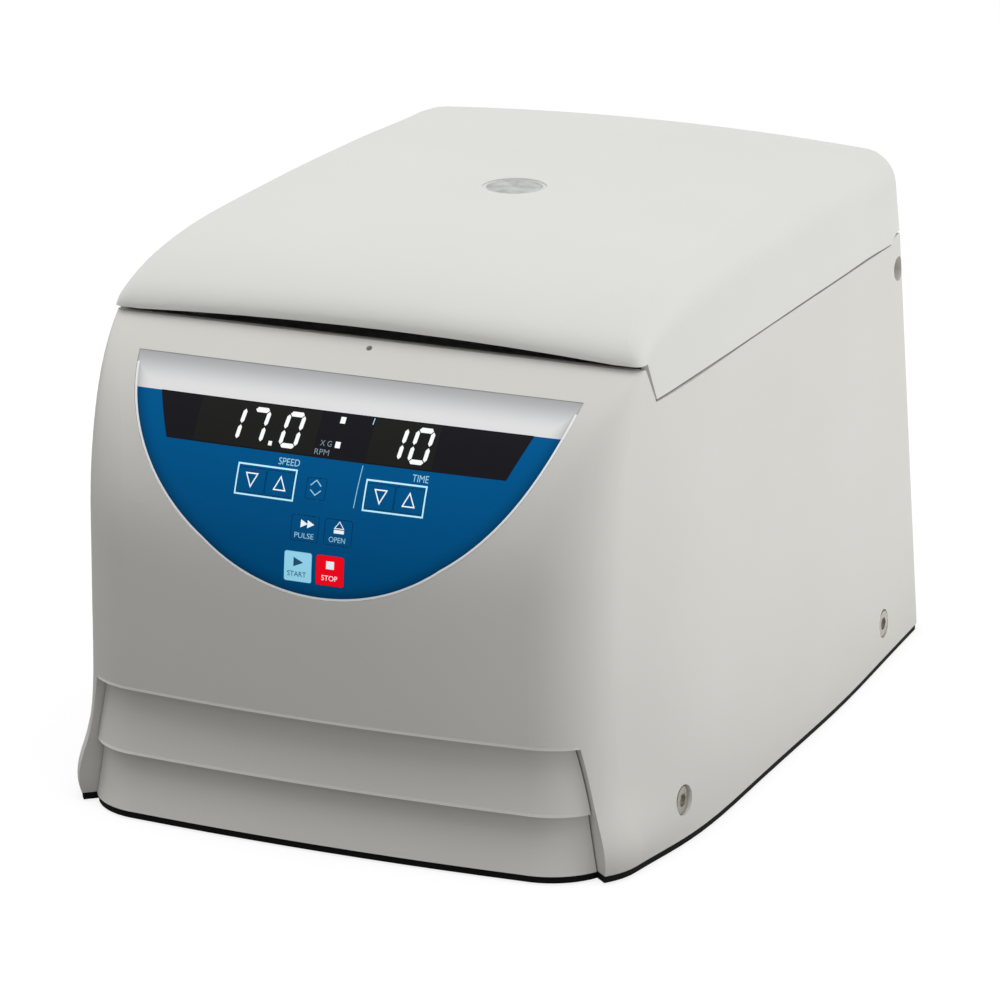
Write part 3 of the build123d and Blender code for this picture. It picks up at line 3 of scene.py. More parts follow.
import bpy
import numpy as np
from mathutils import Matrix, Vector


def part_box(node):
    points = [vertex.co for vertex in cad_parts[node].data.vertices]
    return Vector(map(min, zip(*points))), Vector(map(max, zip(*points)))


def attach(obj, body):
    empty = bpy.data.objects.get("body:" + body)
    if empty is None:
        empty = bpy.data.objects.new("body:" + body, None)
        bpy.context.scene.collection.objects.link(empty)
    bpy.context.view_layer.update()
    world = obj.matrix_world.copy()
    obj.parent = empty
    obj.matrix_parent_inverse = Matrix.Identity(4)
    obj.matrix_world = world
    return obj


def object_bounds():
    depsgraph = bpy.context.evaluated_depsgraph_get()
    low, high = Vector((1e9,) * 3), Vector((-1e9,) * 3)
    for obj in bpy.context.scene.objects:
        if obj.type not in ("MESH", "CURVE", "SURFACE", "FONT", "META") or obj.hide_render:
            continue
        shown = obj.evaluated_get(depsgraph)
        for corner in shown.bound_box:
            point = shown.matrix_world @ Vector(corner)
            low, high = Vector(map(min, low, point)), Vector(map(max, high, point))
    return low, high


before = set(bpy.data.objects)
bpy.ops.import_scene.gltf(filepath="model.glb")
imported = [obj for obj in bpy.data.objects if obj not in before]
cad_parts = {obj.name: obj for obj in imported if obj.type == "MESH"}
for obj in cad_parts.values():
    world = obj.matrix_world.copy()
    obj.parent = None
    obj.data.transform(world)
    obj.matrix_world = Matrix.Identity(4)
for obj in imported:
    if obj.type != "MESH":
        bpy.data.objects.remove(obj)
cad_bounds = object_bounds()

mm = 0.001

# CAD nodes that carry the fixed prints
film_node = "keypad_overlay"
window_node = "display_window"

# Places on the keypad, as (x, z) in mm, read off the front of the film
film_corner = (93.2, 182.0)
film_side = (76.5, 145.0)
film_hip = (50.0, 120.0)
left_hip = (-50.0, 120.0)
film_foot = (0.0, 103.2)
# Width of the painted shade along the film's curved rim, in mm
film_rim_painted_shade = 9.0
band_foot = 170.3
# Heights over which painted shade darkens the top of the white band
band_top_painted_shade = (172.0, 183.0)
rim_width = 0.9
rim_inset = 0.04
rim_trim = 3
arc_steps = 60
line_width = 0.6
digit_foot = 156.7
digit_top = 168.8
digit_width = 7.9
digit_stroke = 1.6
digit_slant = 0.11
digit_gap = 0.25
pane_foot = 155.4
pane_top = 170.0
panes = {"speed_pane": (-59.6, -8.5), "time_pane": (13.6, 41.0)}
unit_foot = (156.0, 159.0)
unit_height = 1.9
title_foot = 151.0
title_height = 2.4
arrow_z = 144.4
speed_arrows = (-31.9, -19.6)
time_arrows = (22.2, 34.1)
box_foot = 139.0
box_top = 149.7
speed_box = (-38.1, -13.5)
time_box = (15.85, 40.35)
word_height = 2.0
upper_word_foot = 126.0
lower_word_foot = 111.2

# How prints are laid down, in mm: they start at start_y and stop these lifts off the node
start_y = -250.0
print_step = 1.0
film_lift = 0.05
rim_lift = 0.06
pane_lift = 0.06
window_lift = 0.12

# Relief that rounds a lip's lower edge, in mm, and the sight window's painted rim highlight, as radii
lip_height = 1.2
lip_fade = 2.0
lip_swell = 0.8
window_rim_highlight = (11.3, 11.8)

# Blender's wave texture turns this many radians over one unit of its scale
wave_rate = 20.0

# Studio: sizes and places in metres, watts for the lamps, and shares and strength of the floor's glow
floor_size = 6.0
card_edge = 0.3
card_glow = 0.5
camera_glow = 0.7
glow_strength = 1.15
ambient = 0.44
light_target = (0.0, 0.0, 0.1)
soft_boxes = {"top_light": ((0.1, -0.35, 1.7), 1.4, 12.5), "right_light": ((1.75, 0.7, 0.45), 1.6, 10.8),
              "left_light": ((-1.6, 0.0, 0.9), 1.0, 5.0)}
camera_place = (0.8368, -1.8861, 0.7290)
camera_target = (-0.00102, -0.0070, 0.09445)
camera_lens = 190.66


def add(tree, kind, values=None, links=None, **settings):
    """Adds one shader node: values go to its input sockets, links feed them, settings are its own."""
    node = tree.nodes.new("ShaderNode" + kind)
    for name, value in settings.items():
        setattr(node, name, value)
    for name, value in (values or {}).items():
        node.inputs[name].default_value = value
    for name, output in (links or {}).items():
        tree.links.new(output, node.inputs[name])
    return node


def linear(colour):
    """Linear RGBA of an sRGB hex colour."""
    parts = np.array([int(colour[i:i + 2], 16) for i in (1, 3, 5)]) / 255
    curve = np.where(parts <= 0.04045, parts / 12.92, ((parts + 0.055) / 1.055) ** 2.4)
    return (*curve.tolist(), 1.0)


def start_material(name):
    """An empty node material and its coordinate node."""
    material = bpy.data.materials.new(name)
    material.use_nodes = True
    tree = material.node_tree
    tree.nodes.clear()
    return material, tree, add(tree, "TexCoord").outputs["Object"]


def finish_surface(tree, colour, place, grain, depth, rough, shader, lip=None):
    """Shader with a linked colour, a linked roughness, and a bump of the given grain and depth in mm.

    lip = (z, y) rounds the lower edge at height z, ahead of y: the relief swells out just above it.
    """
    fine = add(tree, "TexNoise", {"Scale": 1 / (grain * mm), "Detail": 2.0}, {"Vector": place})
    bump = add(tree, "Bump", {"Strength": 1.0, "Distance": depth * mm}, {"Height": fine.outputs["Fac"]})
    if lip:
        parts = add(tree, "SeparateXYZ", links={"Vector": place})
        swell = add(tree, "MapRange", {"From Min": (lip[0] + lip_height) * mm, "From Max": lip[0] * mm},
                    {"Value": parts.outputs["Z"]}, interpolation_type="SMOOTHSTEP")
        ahead = add(tree, "MapRange", {"From Min": (lip[1] + lip_fade) * mm, "From Max": lip[1] * mm},
                    {"Value": parts.outputs["Y"]}, interpolation_type="SMOOTHSTEP")
        height = add(tree, "Math", links={0: swell.outputs["Result"], 1: ahead.outputs["Result"]},
                     operation="MULTIPLY")
        bump = add(tree, "Bump", {"Strength": 1.0, "Distance": lip_swell * mm},
                   {"Height": height.outputs["Value"], "Normal": bump.outputs["Normal"]})
    links = {"Base Color": colour, "Normal": bump.outputs["Normal"], "Roughness": rough}
    body = add(tree, "BsdfPrincipled", shader, links)
    add(tree, "OutputMaterial", links={"Surface": body.outputs["BSDF"]})


def surface(name, colour, tone, patch=30.0, grain=0.8, depth=0.01, roughness=0.45, swing=0.05,
            stretch=(1, 1, 1), shader=None, lip=None):
    """A finish whose colour drifts between two tones over patch mm, with a fine relief of grain mm.

    stretch squeezes the pattern along an axis, which draws the grain out into brush lines.
    """
    material, tree, place = start_material(name)
    mapped = add(tree, "Mapping", {"Scale": stretch}, {"Vector": place}).outputs["Vector"]
    slow = add(tree, "TexNoise", {"Scale": 1 / (patch * mm), "Detail": 3.0}, {"Vector": mapped})
    mixed = add(tree, "Mix", None, {"Factor": slow.outputs["Fac"]}, data_type="RGBA")
    mixed.inputs[6].default_value = linear(colour)
    mixed.inputs[7].default_value = linear(tone)
    rough = add(tree, "MapRange", {"To Min": roughness - swing, "To Max": roughness + swing},
                {"Value": slow.outputs["Fac"]}).outputs["Result"]
    finish_surface(tree, mixed.outputs[2], mapped, grain, depth, rough, shader or {}, lip)
    return material


def wave_scale(pitch):
    """Scale of a wave texture whose waves are pitch mm long."""
    return 2 * np.pi / (pitch * mm * wave_rate)


def turned(name, colour, tone, pitch, centre, roughness, shader):
    """Turned or spun metal: soft rings, pitch mm apart, round an upright axis."""
    material, tree, place = start_material(name)
    shift = (-centre[0] * mm, -centre[1] * mm, 0)
    mapped = add(tree, "Mapping", {"Location": shift}, {"Vector": place}).outputs["Vector"]
    rings = add(tree, "TexWave", {"Scale": wave_scale(pitch), "Distortion": 0.6, "Detail": 2.0},
                {"Vector": mapped}, wave_type="RINGS", rings_direction="Z")
    mixed = add(tree, "Mix", None, {"Factor": rings.outputs["Fac"]}, data_type="RGBA")
    mixed.inputs[6].default_value = linear(colour)
    mixed.inputs[7].default_value = linear(tone)
    rough = add(tree, "MapRange", {"To Min": roughness - 0.06, "To Max": roughness + 0.06},
                {"Value": rings.outputs["Fac"]}).outputs["Result"]
    finish_surface(tree, mixed.outputs[2], mapped, 0.5, 0.008, rough, shader)
    return material


def arc_centre(first, middle, last):
    """Centre (x, z) and radius of the circle through three points."""
    a, b, c = (np.array(p, float) for p in (first, middle, last))
    normal = np.array([b - a, c - a])
    right = np.array([(b @ b - a @ a) / 2, (c @ c - a @ a) / 2])
    centre = np.linalg.solve(normal, right)
    return centre, np.hypot(*(a - centre))


def past_arc(tree, folded, centre, radius):
    """How far a point lies past a circle in the plane of x and z: below 0 inside it."""
    middle = (centre[0] * mm, 0.0, centre[1] * mm)
    moved = add(tree, "VectorMath", {1: middle}, {0: folded}, operation="SUBTRACT")
    flat = add(tree, "VectorMath", {1: (1, 0, 1)}, {0: moved.outputs["Vector"]}, operation="MULTIPLY")
    reach = add(tree, "VectorMath", links={0: flat.outputs["Vector"]}, operation="LENGTH")
    past = add(tree, "Math", {1: radius * mm}, {0: reach.outputs["Value"]}, operation="SUBTRACT")
    return past.outputs["Value"]


def printed_film():
    """Reverse-printed polyester film, blue below a white band, with painted shade along its rim and the
    band's top.

    The painted shade at the rim is the third power of 1 - d / its width, with d the distance to the film's
    curved edge.
    """
    material, tree, place = start_material("printed_polyester_film")
    parts = add(tree, "SeparateXYZ", links={"Vector": place})
    above = add(tree, "Math", {1: band_foot * mm}, {0: parts.outputs["Z"]}, operation="GREATER_THAN")
    folded = add(tree, "VectorMath", links={0: place}, operation="ABSOLUTE").outputs["Vector"]
    half = add(tree, "SeparateXYZ", links={"Vector": folded})
    beside = add(tree, "Math", {1: film_hip[0] * mm}, {0: half.outputs["X"]}, operation="GREATER_THAN")
    foot_edge = past_arc(tree, folded, *arc_centre(film_hip, film_foot, left_hip))
    side_edge = past_arc(tree, folded, *arc_centre(film_corner, film_side, film_hip))
    edge = add(tree, "Mix", links={0: beside.outputs["Value"], 2: foot_edge, 3: side_edge})
    # Painted shade: darker near the film's curved rim and towards the top of the white band
    near = add(tree, "MapRange", {"From Min": -film_rim_painted_shade * mm, "From Max": 0.0}, {"Value": edge.outputs[0]})
    shade = add(tree, "Math", {1: 3.0}, {0: near.outputs["Result"]}, operation="POWER")
    top = add(tree, "MapRange", {"From Min": band_top_painted_shade[0] * mm, "From Max": band_top_painted_shade[1] * mm},
              {"Value": parts.outputs["Z"]}, interpolation_type="SMOOTHSTEP")
    both = add(tree, "Math", links={0: shade.outputs["Value"], 1: top.outputs["Result"]},
               operation="MAXIMUM")
    blue = add(tree, "Mix", {6: linear("#0063A1"), 7: linear("#003B5F")},
               {"Factor": shade.outputs["Value"]}, data_type="RGBA")
    white = add(tree, "Mix", {6: linear("#FAFAFB"), 7: linear("#B4B5B7")},
                {"Factor": both.outputs["Value"]}, data_type="RGBA")
    inks = {6: blue.outputs[2], 7: white.outputs[2]}
    mixed = add(tree, "Mix", links={"Factor": above.outputs["Value"], **inks}, data_type="RGBA")
    rough = add(tree, "MapRange", {"To Min": 0.30, "To Max": 0.36}, {"Value": above.outputs["Value"]})
    finish_surface(tree, mixed.outputs[2], place, 1.2, 0.004, rough.outputs["Result"],
                   {"IOR": 1.57, "Specular IOR Level": 0.03})
    return material


def lit(name, colour, strength):
    """Light-emitting segment behind a clear window: it glows evenly."""
    material, tree, place = start_material(name)
    cells = add(tree, "TexNoise", {"Scale": 1 / (3 * mm)}, {"Vector": place})
    shade = add(tree, "Mix", None, {"Factor": cells.outputs["Fac"]}, data_type="RGBA")
    shade.inputs[6].default_value = linear(colour)
    shade.inputs[7].default_value = linear("#F4F8FA")
    body = add(tree, "BsdfPrincipled", {"Base Color": linear("#303030"), "Emission Strength": strength},
               {"Emission Color": shade.outputs[2]})
    add(tree, "OutputMaterial", links={"Surface": body.outputs["BSDF"]})
    return material


def sight_window():
    """Clear polycarbonate disc: a painted rim highlight, and a painted mottled view of the dim chamber
    inside it.
    """
    material, tree, place = start_material("clear_polycarbonate")
    shift = (-axis[0] * mm, -axis[1] * mm, 0)
    mapped = add(tree, "Mapping", {"Location": shift, "Scale": (1, 1, 0)}, {"Vector": place})
    moved = mapped.outputs["Vector"]
    reach = add(tree, "VectorMath", links={0: moved}, operation="LENGTH")
    # Painted highlight: a bright ring where the rim is bevelled
    rim = add(tree, "MapRange", {"From Min": window_rim_highlight[0] * mm, "From Max": window_rim_highlight[1] * mm},
              {"Value": reach.outputs["Value"]})
    # Painted view of the dim chamber through the disc: mottled greys
    mottle = add(tree, "TexNoise", {"Scale": 1 / (7 * mm), "Detail": 3.0}, {"Vector": moved})
    spread = add(tree, "MapRange", {"From Min": 0.38, "From Max": 0.62},
                 {"Value": mottle.outputs["Fac"]})
    view = add(tree, "Mix", None, {"Factor": spread.outputs["Result"]}, data_type="RGBA")
    view.inputs[6].default_value = linear("#A3A6A2")
    view.inputs[7].default_value = linear("#D2D4D0")
    mixed = add(tree, "Mix", {7: linear("#FAFAF8")},
                {"Factor": rim.outputs["Result"], 6: view.outputs[2]}, data_type="RGBA")
    rough = add(tree, "MapRange", {"To Min": 0.18, "To Max": 0.28}, {"Value": mottle.outputs["Fac"]})
    finish_surface(tree, mixed.outputs[2], place, 0.8, 0.004, rough.outputs["Result"],
                   {"IOR": 1.58, "Transmission Weight": 0.3})
    return material


def board_mask():
    """Solder mask on a circuit board: green varnish, and paler copper tracks round fields of 12 by 6 mm."""
    material, tree, place = start_material("solder_mask_green")
    varnish = {"Color1": linear("#14532F"), "Color2": linear("#174F2E"), "Mortar": linear("#2F7A4A")}
    tracks = add(tree, "TexBrick", {"Scale": 1 / (24 * mm), "Mortar Size": 0.01, **varnish},
                 {"Vector": place})
    rough = add(tree, "MapRange", {"To Min": 0.3, "To Max": 0.42}, {"Value": tracks.outputs["Fac"]})
    finish_surface(tree, tracks.outputs["Color"], place, 1.2, 0.02, rough.outputs["Result"], {})
    return material


def laminated_iron():
    """Stacked stator sheets: dark bands drawn 9.42 mm apart, much coarser than real, so that they show."""
    material, tree, place = start_material("laminated_iron")
    bands = add(tree, "TexWave", {"Scale": wave_scale(9.42)}, {"Vector": place}, bands_direction="Z")
    mixed = add(tree, "Mix", None, {"Factor": bands.outputs["Fac"]}, data_type="RGBA")
    mixed.inputs[6].default_value = linear("#3C3C40")
    mixed.inputs[7].default_value = linear("#58585C")
    rough = add(tree, "MapRange", {"To Min": 0.4, "To Max": 0.6}, {"Value": bands.outputs["Fac"]})
    finish_surface(tree, mixed.outputs[2], place, 0.6, 0.02, rough.outputs["Result"], {"Metallic": 0.8})
    return material


axis = tuple(((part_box("rotor_nut")[0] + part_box("rotor_nut")[1]) / 2 / mm)[:2])

# Moulded ABS, warm light grey with a fine satin texture: broad soft highlights, no mirror
plastic = {"IOR": 1.53, "Specular IOR Level": 0.25}
housing_abs = surface("moulded_abs_light_grey", "#DEDDD8", "#DAD9D3", 60, 0.9, 0.012, 0.5, 0.04,
                      shader=plastic, lip=(54.0, -167.5))
# Same plastic on the lower front panel, whose upper band ends in a rounded lip
panel_abs = surface("moulded_abs_panel", "#DEDDD8", "#DAD9D3", 60, 0.9, 0.012, 0.5, 0.04, shader=plastic,
                    lip=(27.0, -140.0))
# The lid is the same plastic, made a touch whiter all over: painted light, for the light falling on its top
lid_abs_painted_light = surface("moulded_abs_lid_painted_light", "#E2E2DE", "#DEDEDA", 60, 0.9, 0.012, 0.48, 0.04, shader=plastic)
# Thermoformed grey liner inside the lid, duller than the shell
liner_abs = surface("formed_abs_liner", "#BDBFBD", "#B4B6B4", 40, 1.2, 0.02, 0.55, shader={"IOR": 1.53})
window_clear = sight_window()
film = printed_film()
# Smoked acrylic over the digits: near black, glossy
smoked = surface("smoked_acrylic", "#1D1C22", "#19181E", 12, 1.5, 0.002, 0.24, 0.03,
                 shader={"IOR": 1.49, "Specular IOR Level": 0.06})
# Filter panes round the digits, a shade paler and warmer than the acrylic
pane = surface("digit_filter", "#222221", "#1F1F1E", 12, 1.5, 0.002, 0.3, 0.03,
               shader={"IOR": 1.49, "Specular IOR Level": 0.06})
# Screen-printed keys in light blue and red, with a little painted glow that brightens them
key_blue = surface("film_light_blue", "#A0E4FC", "#98DEF8", 10, 1.2, 0.004, 0.33, 0.03,
                   shader={"IOR": 1.57, "Specular IOR Level": 0.03, "Emission Color": linear("#A0E4FC"),
                           "Emission Strength": 0.34})
key_red = surface("film_red", "#FF0A20", "#FA0820", 10, 1.2, 0.004, 0.33, 0.03,
                  shader={"IOR": 1.57, "Specular IOR Level": 0.03, "Emission Color": linear("#FF0A20"),
                          "Emission Strength": 0.34})
# Inks: pale blue words, brighter frames, white symbols, all three with painted glow, and dark blue on the
# light key
ink_pale = surface("ink_pale_blue", "#A8DEF6", "#9CD4EE", 3, 0.5, 0.002, 0.4, 0.03,
                   shader={"Emission Color": linear("#A0DCF6"), "Emission Strength": 0.22})
ink_frame = surface("ink_bright_blue", "#C4F0FF", "#B8E8FA", 3, 0.5, 0.002, 0.4, 0.03,
                    shader={"Emission Color": linear("#B8ECFF"), "Emission Strength": 0.4})
# Unit names beside the digits: the same ink under the smoked window, so dimmer
ink_dim = surface("ink_smoked_blue", "#8AA6B2", "#7E9AA6", 3, 0.5, 0.002, 0.4, 0.03)
ink_white = surface("ink_white", "#F4F8FA", "#E8F0F4", 3, 0.5, 0.002, 0.4, 0.03,
                    shader={"Emission Color": linear("#F4FAFF"), "Emission Strength": 0.4})
ink_dark = surface("ink_dark_blue", "#0E648E", "#0C5C84", 3, 0.5, 0.002, 0.4, 0.03)
# Silver-white line round the film's curved edge, with a faint painted glow
ink_rim = surface("ink_silver_white", "#F2F3F5", "#E6E8EA", 3, 0.5, 0.002, 0.35, 0.03,
                  shader={"Emission Color": linear("#F2F3F5"), "Emission Strength": 0.12})
# Black powder coat on the sheet-steel tray: fine orange peel
powder_black = surface("powder_coat_black", "#0E0E10", "#0A0A0B", 20, 0.7, 0.03, 0.7,
                       shader={"Specular IOR Level": 0.15})
# Moulded rubber: matt, with a little dust in its colour
rubber = surface("moulded_rubber_black", "#171716", "#20201F", 6, 0.6, 0.03, 0.82, 0.06)
# Bright zinc on steel fasteners and springs: crisp small highlights; the pale warm tint is the zinc's colour
# plus a painted warm reflection
zinc_bright = surface("zinc_plated_steel", "#D2CDC4", "#BEB9B0", 2, 0.5, 0.006, 0.28, 0.06,
                      shader={"Metallic": 1.0})
# Steel of the hinge pins, made nearly black as painted shade of their deep recesses, with an oily sheen
hinge_pin_painted_shade = surface("hinge_pin_steel_painted_shade", "#2B2C2E", "#222325", 3, 0.6, 0.006, 0.35, 0.06,
                      shader={"Metallic": 0.7})
# Dull passivated zinc on folded brackets, spangled over a few millimetres
zinc_dull = surface("passivated_zinc_plate", "#B2B4B2", "#9EA19F", 5, 1.0, 0.01, 0.42, 0.08,
                    shader={"Metallic": 0.9})
# Acetal: waxy cream plastic
acetal = surface("acetal_natural", "#E4DFD2", "#DCD6C8", 8, 0.8, 0.006, 0.38, shader={"IOR": 1.48})
# Stainless bowl, spun, so rings run round the rotor's axis
bowl_steel = turned("spun_stainless_steel", "#C4C5C6", "#A9AAAC", 7.54, axis, 0.32, shader={"Metallic": 1.0})
# Hard-anodised aluminium rotor, turned: dark grey with faint rings
anodised = turned("anodised_aluminium_dark", "#5A5C60", "#4E5054", 10.05, axis, 0.42,
                  shader={"Metallic": 0.85})
# Bright turned aluminium nut
turned_bright = turned("turned_aluminium", "#D2D3D4", "#BDBEC0", 5.03, axis, 0.26,
                       shader={"Metallic": 1.0})
# Die-cast aluminium: slightly grainy and dull
cast_aluminium = surface("die_cast_aluminium", "#B6B8BA", "#A6A8AA", 10, 0.7, 0.04, 0.5, 0.08,
                         shader={"Metallic": 0.85})
# Extruded aluminium: die lines run down the fins
extruded = surface("extruded_aluminium", "#AEB0B2", "#9DA0A2", 10, 0.8, 0.02, 0.38, 0.06, (1, 1, 0.1),
                   shader={"Metallic": 0.95})
# Glass-filled black plastic of the inlet and switch: fine spark-eroded texture
black_plastic = surface("spark_texture_black", "#1A1A1C", "#141416", 10, 0.5, 0.03, 0.5, 0.06)
# Smoother black plastic for the rocker, polished by fingers
rocker_plastic = surface("rocker_black", "#19191B", "#222224", 6, 0.9, 0.006, 0.32, 0.08)
# Tinned brass blades, warm silver
tinned_brass = surface("tinned_brass", "#CDBF95", "#C0B088", 3, 0.6, 0.006, 0.3, 0.06,
                       shader={"Metallic": 1.0})
# Textured grey paint on the sheet-steel rear panel
panel_paint = surface("textured_paint_grey", "#B0B2B0", "#A8AAA8", 20, 0.8, 0.04, 0.52, 0.05)
board = board_mask()
iron = laminated_iron()
digits_lit = lit("led_segments_white", "#FFFFFF", 0.95)

node_finishes = {
    housing_abs: ("housing",),
    panel_abs: ("lower_front_panel",),
    lid_abs_painted_light: ("lid_shell",),
    liner_abs: ("lid_liner", "sight_tube"),
    window_clear: ("lid_window",),
    film: ("keypad_overlay", "key_speed_down", "key_speed_up", "key_unit", "key_time_down", "key_time_up",
           "key_pulse", "key_open"),
    smoked: ("display_window", "digit_modules"),
    key_blue: ("key_start",),
    key_red: ("key_stop",),
    powder_black: ("base_tray",),
    rubber: ("rubber_feet", "bowl_gasket", "shaft_boot", "rubber_mounts"),
    zinc_bright: ("side_screws", "rear_screws", "lid_screws", "motor_shaft", "motor_bearings", "latch_pawl",
                  "latch_hook", "pawl_spring", "lid_springs"),
    hinge_pin_painted_shade: ("hinge_pins",),
    zinc_dull: ("latch_bracket", "motor_mount_plate"),
    acetal: ("hinge_bushes", "board_stands"),
    bowl_steel: ("rotor_bowl",),
    anodised: ("rotor",),
    turned_bright: ("rotor_nut",),
    cast_aluminium: ("motor_housing", "motor_cap", "mount_pillars"),
    extruded: ("heat_sink",),
    iron: ("motor_stator", "motor_armature"),
    black_plastic: ("latch_drive", "mains_inlet", "fuse_drawer", "switch_frame", "board_components"),
    rocker_plastic: ("power_switch_rocker",),
    tinned_brass: ("inlet_blades",),
    panel_paint: ("rear_panel",),
    board: ("display_board", "control_board", "power_board"),
}
for material, names in node_finishes.items():
    for name in names:
        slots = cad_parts[name].data.materials
        if not slots:
            slots.append(material)
        for slot in range(len(slots)):
            slots[slot] = material


def circle_arc(first, middle, last, steps):
    """Points (x, z) of the circle arc from first through middle to last: centre + radius * (cos, sin)."""
    centre, radius = arc_centre(first, middle, last)
    turns = np.unwrap([np.arctan2(*(np.array(p) - centre)[::-1]) for p in (first, middle, last)])
    angle = np.linspace(turns[0], turns[2], steps)
    return centre + radius * np.column_stack([np.cos(angle), np.sin(angle)])


def lay_down(name, points, faces, node, material, lift=None):
    """Piece from flat (x, z) points in mm, pressed along +Y onto a CAD node and lifted a hair off it.

    A print on a key rides on the body of the same name, and any other print on the base. Without a lift
    of its own, a print takes that of the film or of the display window.
    """
    flat = np.column_stack([points[:, 0], np.full(len(points), start_y), points[:, 1]]) * mm
    mesh = bpy.data.meshes.new(name)
    mesh.from_pydata(flat.tolist(), [], faces)
    piece = bpy.data.objects.new(name, mesh)
    bpy.context.scene.collection.objects.link(piece)
    press = piece.modifiers.new("press", "SHRINKWRAP")
    press.wrap_method = "PROJECT"
    press.use_project_y = True
    press.use_positive_direction = True
    press.use_negative_direction = False
    press.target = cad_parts[node]
    press.wrap_mode = "ABOVE_SURFACE"
    press.offset = (lift or (window_lift if node == window_node else film_lift)) * mm
    pressed = bpy.data.meshes.new_from_object(piece.evaluated_get(bpy.context.evaluated_depsgraph_get()))
    piece.modifiers.clear()
    piece.data = pressed
    pressed.name = name
    pressed.materials.clear()
    pressed.materials.append(material)
    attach(piece, node if node.startswith("key_") else "base")
    return piece


def line(name, path, width, closed, node, material, lift=None):
    """Printed line: the path's two borders, half the width to each side along the mitre of its corners."""
    path = np.array(path, float)
    ring = np.vstack([path, path[:1]]) if closed else path
    run = np.diff(ring, axis=0)
    run /= np.hypot(run[:, 0], run[:, 1])[:, None]
    side = np.column_stack([-run[:, 1], run[:, 0]])
    before = np.vstack([side[-1:] if closed else side[:1], side])
    after = np.vstack([side, side[:1] if closed else side[-1:]])
    mitre = before + after
    mitre /= np.sum(mitre * after, axis=1)[:, None]
    lengths = np.r_[0, np.cumsum(np.hypot(*np.diff(ring, axis=0).T))]
    spots = np.unique(np.concatenate([lengths, np.arange(0, lengths[-1], print_step)]))
    spots = spots[np.r_[True, np.diff(spots) > 1e-6]]
    borders = [np.column_stack([np.interp(spots, lengths, (ring + sign * mitre * width / 2)[:, k])
                                for k in (0, 1)]) for sign in (1, -1)]
    points = np.vstack(borders)
    count = len(spots)
    i = np.arange(count - 1)
    faces = np.column_stack([i, i + 1, i + count + 1, i + count]).tolist()
    return lay_down(name, points, faces, node, material, lift)


def patch(name, corners, node, material):
    """Printed solid shape with the given corners."""
    points = np.array(corners, float)
    return lay_down(name, points, [list(range(len(points)))], node, material)


def word(name, text, left, right, foot, height, node, material):
    """Printed word, its letters fitted between left and right, standing on foot."""
    curve = bpy.data.curves.new(name, "FONT")
    curve.body = text
    curve.resolution_u = 4
    lettering = bpy.data.objects.new(name + "_outline", curve)
    bpy.context.scene.collection.objects.link(lettering)
    flat = bpy.data.meshes.new_from_object(lettering.evaluated_get(bpy.context.evaluated_depsgraph_get()))
    bpy.data.objects.remove(lettering)
    spots = np.empty(len(flat.vertices) * 3)
    flat.vertices.foreach_get("co", spots)
    spots = spots.reshape(-1, 3)[:, :2]
    low, high = spots.min(0), spots.max(0)
    spots = (spots - low) / (high - low) * (right - left, height) + (left, foot)
    faces = [list(face.vertices) for face in flat.polygons]
    return lay_down(name, spots, faces, node, material)


def bar(start, end, stroke):
    """One digit segment: a bar from start to end with pointed ends."""
    start, end = np.array(start, float), np.array(end, float)
    along = (end - start) / np.hypot(*(end - start))
    across = np.array([-along[1], along[0]]) * stroke / 2
    tip = along * stroke / 2
    return [start, start + tip + across, end - tip + across, end, end - tip - across, start + tip - across]


def digit(name, shown, right):
    """Slanted seven-segment digit, its right edge at right: segments are a to g, clockwise from the top."""
    x1 = right - digit_stroke / 2
    x0 = x1 - digit_width + digit_stroke
    low, high = digit_foot + digit_stroke / 2, digit_top - digit_stroke / 2
    middle = (low + high) / 2
    ends = {"a": ((x0, high), (x1, high)), "b": ((x1, high), (x1, middle)), "c": ((x1, middle), (x1, low)),
            "d": ((x1, low), (x0, low)), "e": ((x0, low), (x0, middle)), "f": ((x0, middle), (x0, high)),
            "g": ((x0, middle), (x1, middle))}
    points, faces = [], []
    for segment in shown:
        start, end = (np.array(p) for p in ends[segment])
        step = (end - start) / np.hypot(*(end - start)) * digit_gap
        faces.append(list(range(len(points), len(points) + 6)))
        points += bar(start + step, end - step, digit_stroke)
    points = np.array(points)
    points[:, 0] += (points[:, 1] - middle) * digit_slant
    lay_down(name, points, faces, window_node, digits_lit)


# Light rim printed along the film's curved edge
right_arc = circle_arc(film_corner, film_side, film_hip, arc_steps)
foot_arc = circle_arc(film_hip, film_foot, left_hip, arc_steps)
left_arc = (right_arc * (-1, 1))[::-1]
edge_path = np.vstack([right_arc, foot_arc[1:], left_arc[1:]])
edge_run = np.gradient(edge_path, axis=0)
edge_side = np.column_stack([-edge_run[:, 1], edge_run[:, 0]]) / np.hypot(*edge_run.T)[:, None]
rim_path = edge_path - edge_side * (rim_width / 2 + rim_inset)
line("film_rim", rim_path[rim_trim:-rim_trim], rim_width, False, film_node, ink_rim, rim_lift)

# Filter panes round the digits, as grids that follow the curved window
across, up = 30, 12
for name, (left, right) in panes.items():
    x, z = np.meshgrid(np.linspace(left, right, across), np.linspace(pane_foot, pane_top, up))
    i, j = np.meshgrid(np.arange(across - 1), np.arange(up - 1))
    corner = (j * across + i).ravel()
    quads = np.column_stack([corner, corner + 1, corner + across + 1, corner + across]).tolist()
    lay_down(name, np.column_stack([x.ravel(), z.ravel()]), quads, window_node, pane, pane_lift)

